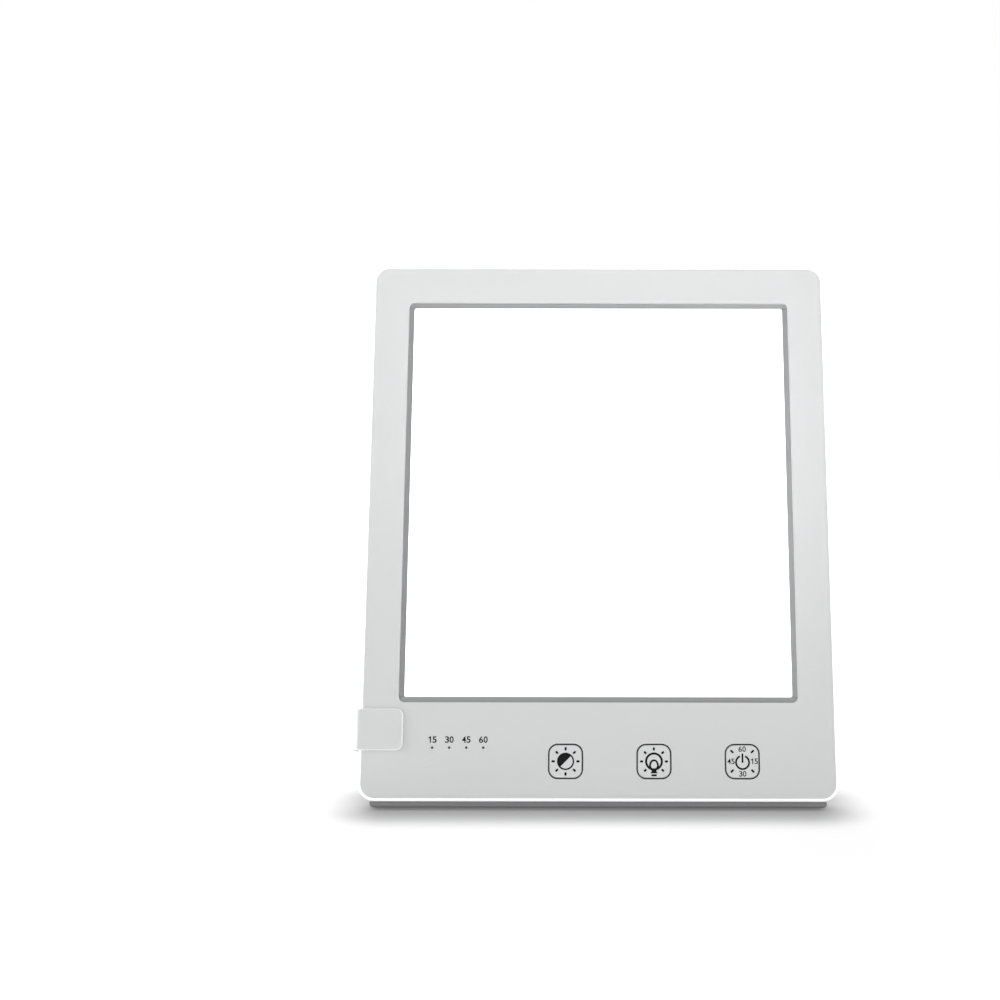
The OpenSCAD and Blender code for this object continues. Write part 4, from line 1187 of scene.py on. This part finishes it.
def buildStand():
    v = inMetres(standValues)
    clipX = standLow.x
    right = standHigh.x
    lowZ = standLow.z
    topZ = standHigh.z
    clipTop = lowZ + v["clipH"]
    frontY = standLow.y
    backY = panelT + v["gap"] + v["plateT"]
    leafRight = panelLow.x + v["reach"]
    clip = addBlock("clipStand", (clipX, frontY, lowZ - mm), (leafRight + mm, backY - hair, clipTop + mm))
    roundEdges(clip, v["foldR"], 12, lambda e, a, b: runsAlong(2, a, b) and a.x < clipX + hair)
    outline = addBlock("outline", (clipX - hair / 4, frontY - mm, lowZ), (leafRight, backY + mm, clipTop))
    roundEdges(outline, v["foldEndR"], 8, lambda e, a, b: runsAlong(1, a, b) and a.x < clipX + hair)
    roundEdges(outline, v["cornerR"], 12, lambda e, a, b: runsAlong(1, a, b) and a.x > leafRight - hair)
    combine(clip, outline, "INTERSECT")
    pocket = addBlock("pocket", (panelLow.x - v["gap"], -v["gap"], lowZ - mm),
                      (right, panelT + v["gap"] + hair, clipTop + mm))
    cut(clip, pocket)
    roundEdges(clip, v["leafEdge"], 4, lambda e, a, b: isCrisp(e, 40) and max(a.y, b.y) < -v["gap"] - hair,
               clamp=False)
    plateLow = (right - v["stripW"], panelT + v["gap"], lowZ - hair)
    plate = addSlab("plate", plateLow, (right, backY, topZ), v["plateR"])
    roundEdges(plate, v["edge"], 3, lambda e, a, b: min(a.y, b.y) > backY - hair)
    fuse(clip, plate)
    axisY, axisZ = hingeUpright.y, hingeUpright.z
    hingeLeft = right - v["stripW"] + v["hingeIn"]
    hingeRight = right - v["hingeIn"]
    for x in (hingeLeft, hingeRight - v["earL"]):
        end = x + v["earL"]
        ear = addBlock("ear", (x, backY - mm, axisZ - v["knuckleR"]), (end, axisY, axisZ + v["knuckleR"]))
        fuse(ear, addRod("knuckle", "X", 2 * v["knuckleR"], (x, axisY, axisZ), (end, axisY, axisZ), 64))
        roundEdges(ear, v["earEdge"], 2, lambda e, a, b: isCrisp(e, 50) and abs(a.x - b.x) < hair
                   and min(a.y, b.y) > backY - v["earEdge"])
        fuse(clip, ear)
    pinStart, pinEnd = (hingeLeft - mm, axisY, axisZ), (hingeRight + mm, axisY, axisZ)
    cut(clip, addRod("pinHole", "X", v["pinD"], pinStart, pinEnd, 32))
    for low, high in padPockets():
        cut(clip, addSlab("padPocket", low, high, padValues["cornerR"] * mm))
    finishPiece(clip, "clipStand", "stand", "clip", ["stand_clip"])


def padBoxes():
    # the soft pads' own boxes: on the front leaf and on the plate
    middle = panelT / 2
    front = uprightBox("clip_pads", lambda p: p.y < middle)
    return [front, uprightBox("clip_pads", lambda p: p.y > middle)]


def padPockets():
    # pockets as deep as the pads, open towards the panel
    front, rear = padBoxes()
    gap = standValues["gap"] * mm
    return [
        (front[0], (front[1].x, -gap + hair, front[1].z)),
        ((rear[0].x, panelT + gap - hair, rear[0].z), rear[1]),
    ]


padValues = {"cornerR": 1.0, "edge": 0.12, "grooveD": 0.5, "grooveStep": 1.9, "grooves": 6}


def buildPads():
    # grooved pads that grip the panel
    v = inMetres(padValues)
    pads = []
    for low, high in padBoxes():
        front = high.y < panelT / 2
        grip = high.y if front else low.y
        pad = addSlab("pad", low, high, v["cornerR"])
        roundEdges(pad, v["edge"], 2, lambda e, a, b: max(abs(a.y - grip), abs(b.y - grip)) < hair)
        middleZ = (low.z + high.z) / 2
        first = middleZ - v["grooveStep"] * (padValues["grooves"] - 1) / 2
        grooves = []
        for i in range(padValues["grooves"]):
            z = first + i * v["grooveStep"]
            start, end = (low.x - mm, grip, z), (high.x + mm, grip, z)
            grooves.append(addRod("groove", "X", v["grooveD"], start, end, 12))
        pads.append(cut(pad, joinPieces("grooves", grooves)))
    finishPiece(joinPieces("clipPads", pads), "clipPads", "stand", "rubber", ["clip_pads"])


pinValues = {"headT": 1.2, "dome": 0.55, "dimple": 1.6, "dimpleDeep": 0.35}


def buildPin():
    # hinge pin with rolled heads, each dimpled by the press that closed it
    v = inMetres(pinValues)
    low, high = uprightBox("hinge_pin")
    headD = high.z - low.z
    y, z = hingeUpright.y, hingeUpright.z
    pinD = standValues["pinD"] * mm
    pin = addRod("hingePin", "X", pinD, (low.x + mm / 2, y, z), (high.x - mm / 2, y, z), 48)
    for outer, inner in ((low.x, low.x + v["headT"]), (high.x, high.x - v["headT"])):
        start, end = min(outer, inner), max(outer, inner)
        head = addRod("head", "X", headD, (start, y, z), (end, y, z), 48)
        roundEdges(head, v["dome"], 5, lambda e, a, b: max(abs(a.x - outer), abs(b.x - outer)) < hair)
        dimpleR = v["dimple"] / 2
        dimple = addNew("dimple", bpy.ops.mesh.primitive_uv_sphere_add, segments=24, ring_count=12,
                        radius=dimpleR, location=(outer, y, z))
        applyPlace(dimple)
        for vertex in dimple.data.vertices:
            vertex.co.x = outer + (vertex.co.x - outer) * v["dimpleDeep"] / dimpleR
        cut(head, dimple)
        fuse(pin, head)
    finishPiece(pin, "hingePin", "stand", "steel", ["hinge_pin"])


buildStand()
buildPads()
buildPin()
print("stand built")

legValues = {"thick": 3.4, "footW": 44.0, "shoulder": 16.0, "footR": 3.2, "knuckleR": 3.2, "pinD": 3.1,
             "edge": 0.8, "reliefIn": 5.0, "reliefSlope": 0.6, "reliefDeep": 0.5, "sleeveEdge": 0.5,
             "grooveD": 0.7, "grooves": 7, "grooveFirst": -96, "grooveTurn": 24,
             "washerIn": 0.65, "table": 50.0, "tableDeep": 10.0}
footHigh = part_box("foot_pad")[1]
footAxis = Vector((hingeRow.x, footHigh.y - legValues["footR"] * mm, footHigh.z - legValues["footR"] * mm))
legRun = footAxis - hingeRow
legDrop = math.atan2(-legRun.z, legRun.y)
legToRow = Matrix.Translation(hingeRow) @ Matrix.Rotation(-legDrop, 4, "X")
legLow = boxThrough("stand_leg", legToRow.inverted())[0]


def buildLeg():
    v = inMetres(legValues)
    long = legRun.length
    washerLow, washerHigh = uprightBox("hinge_washers")
    narrow = (washerHigh.x - washerLow.x) / 2 - v["washerIn"]
    half = v["thick"] / 2
    leg = addBlock("leg", (-narrow, legLow.y, -half), (narrow, long, half))
    for y in (v["shoulder"], long - v["footR"]):
        slicePiece(leg, (0, y, 0), (0, 1, 0))
    for vertex in leg.data.vertices:
        if vertex.co.y > v["shoulder"] + mm:
            vertex.co.x *= v["footW"] / 2 / narrow
    for side in (-1, 1):
        pickFaces(leg, lambda c, n: n.z * side > 0.9 and v["shoulder"] < c.y < long - v["footR"])
        bpy.ops.mesh.inset(thickness=v["reliefIn"])
        bpy.ops.mesh.inset(thickness=v["reliefSlope"], depth=-v["reliefDeep"])
        leaveEdit()
    roundEdges(leg, v["edge"], 4, lambda e, a, b: isCrisp(e, 60) and min(abs(a.z), abs(b.z)) > half - hair
               and max(a.y, b.y) < long - hair)
    barrel = addRod("barrel", "X", 2 * v["knuckleR"], (-narrow, 0, 0), (narrow, 0, 0), 64)
    fuse(leg, barrel)
    cut(leg, addRod("bore", "X", v["pinD"], (-narrow - mm, 0, 0), (narrow + mm, 0, 0), 48))
    finishPiece(leg, "leg", "leg", "stand", ["stand_leg"], legToRow)


def buildFoot():
    v = inMetres(legValues)
    half = v["footW"] / 2
    long = legRun.length
    sleeve = addRod("footSleeve", "X", 2 * v["footR"], (-half, long, 0), (half, long, 0), 64)
    roundEdges(sleeve, v["sleeveEdge"], 3, lambda e, a, b: min(abs(a.x), abs(b.x)) > half - hair)
    halfT = v["thick"] / 2
    slot = addBlock("slot", (-half - mm, long - 3 * v["footR"], -halfT), (half + mm, long, halfT))
    cut(sleeve, slot)
    grooves = []
    for i in range(legValues["grooves"]):
        angle = math.radians(legValues["grooveFirst"] + i * legValues["grooveTurn"])
        y, z = long + v["footR"] * math.cos(angle), v["footR"] * math.sin(angle)
        grooves.append(addRod("groove", "X", v["grooveD"], (-half - mm, y, z), (half + mm, y, z), 12))
    cut(sleeve, joinPieces("grooves", grooves))
    applyPlace(sleeve, legToRow)
    reach = v["table"]
    table = addBlock("table", (hingeRow.x - reach, 0, -v["tableDeep"]), (hingeRow.x + reach, 2 * reach, 0))
    cut(sleeve, table)
    finishPiece(sleeve, "footSleeve", "leg", "rubber", ["foot_pad"], None)


buildLeg()
buildFoot()
print("leg and foot built")

# the contact glow and its steps shape a painted shadow around the lamp's footprint
stageValues = {"floorSize": 8.0, "floorColour": (0.48, 0.48, 0.48), "ambient": 0.25,
               "footMiddle": (0.0, 0.003, 0.0), "footHalf": (0.09, 0.011, 0.0),
               "paintedShadowGlow": 0.14, "paintedShadowSteps": [(0.004, 0.034, 0.52), (0.06, 0.7, 0.5)], "bounce": 0.5}


def seenDirectly(tree):
    # 1 for camera, glossy and transmitted rays
    path = addNode(tree, "ShaderNodeLightPath").outputs
    seen = addMath(tree, "MAXIMUM", path["Is Camera Ray"], path["Is Glossy Ray"])
    return addMath(tree, "MAXIMUM", seen, path["Is Transmission Ray"])


def addFloor():
    size = stageValues["floorSize"]
    floor = addNew("floor", bpy.ops.mesh.primitive_plane_add, size=size, location=(0, 0, 0))
    finish, tree, shader = newFinish("paleFloor")
    shader.inputs["Base Color"].default_value = (*stageValues["floorColour"], 1)
    shader.inputs["Roughness"].default_value = 0.9
    shader.inputs["Specular IOR Level"].default_value = 0.1
    # painted shadow: the floor's glow is lowest at the lamp's footprint and brightens with the distance from
    # it
    vector = objectVector(tree)
    for operation, value in (("SUBTRACT", stageValues["footMiddle"]), ("ABSOLUTE", None),
                             ("SUBTRACT", stageValues["footHalf"]), ("MAXIMUM", (0, 0, 0))):
        step = addNode(tree, "ShaderNodeVectorMath", operation=operation)
        link(tree, vector, step.inputs[0])
        if value is not None:
            step.inputs[1].default_value = value
        vector = step.outputs["Vector"]
    distance = addNode(tree, "ShaderNodeVectorMath", operation="LENGTH")
    link(tree, vector, distance.inputs[0])
    glow = stageValues["paintedShadowGlow"]
    for near, far, share in stageValues["paintedShadowSteps"]:
        ends = {"From Min": near, "From Max": far, "To Max": share}
        glow = addMath(tree, "ADD", addRamp(tree, distance.outputs["Value"], ends, "SMOOTHSTEP"), glow)
    seen = addMath(tree, "MAXIMUM", seenDirectly(tree), stageValues["bounce"])
    strength = addMath(tree, "MULTIPLY", glow, seen)
    shader.inputs["Emission Color"].default_value = (1, 1, 1, 1)
    link(tree, strength, shader.inputs["Emission Strength"])
    floor.data.materials.append(finish)


def addWorld():
    world = bpy.data.worlds.new("softWorld")
    bpy.context.scene.world = world
    world.use_nodes = True
    tree = world.node_tree
    shade = tree.nodes["Background"]
    shade.inputs["Color"].default_value = (1, 1, 1, 1)
    strength = addRamp(tree, seenDirectly(tree), {"To Min": stageValues["ambient"], "To Max": 1.0})
    link(tree, strength, shade.inputs["Strength"])


# softboxes: place, what they face, size, power and, for a gridded one, the angle it opens to
lampValues = {
    "topBox": {"place": (0, -0.35, 0.75), "aim": (0, 0, 0.12), "size": (0.9, 0.5), "watts": 0.4},
    "beamBox": {"place": (0.2, -1.2, 0.75), "aim": (0, 0.02, 0.27), "size": (0.4, 0.3), "watts": 0.09,
                "angle": 16},
    "frontBox": {"place": (0, -1.3, 0.16), "aim": (0, 0, 0.12), "size": (1.2, 0.25), "watts": 4.3},
    "leftBox": {"place": (-0.8, 0.1, 0.25), "aim": (0, 0.03, 0.12), "size": (0.5, 0.8), "watts": 0.8},
    "rightBox": {"place": (0.8, 0.1, 0.25), "aim": (0, 0.03, 0.12), "size": (0.5, 0.8), "watts": 0.9},
    "leftFrontBox": {"place": (-0.85, -0.35, 0.3), "aim": (0, 0, 0.12), "size": (0.4, 0.6), "watts": 2.2},
    "rightFrontBox": {"place": (0.85, -0.35, 0.3), "aim": (0, 0, 0.12), "size": (0.4, 0.6), "watts": 1.5},
    "backTopBox": {"place": (-0.2, 0.55, 0.75), "aim": (0, 0, 0.05), "size": (0.7, 0.5), "watts": 2.0},
    "backBox": {"place": (0, 1.1, 0.4), "aim": (0, 0.03, 0.12), "size": (0.9, 0.6), "watts": 2.6},
}


def addLamps():
    for name, values in lampValues.items():
        place = Vector(values["place"])
        lamp = addNew(name, bpy.ops.object.light_add, type="AREA", location=place)
        lamp.rotation_euler = (Vector(values["aim"]) - place).to_track_quat("-Z", "Y").to_euler()
        lamp.data.shape = "RECTANGLE"
        lamp.data.size, lamp.data.size_y = values["size"]
        lamp.data.energy = values["watts"]
        if "angle" in values:
            lamp.data.spread = math.radians(values["angle"])


addFloor()
addWorld()
addLamps()
print("floor and lamps set")
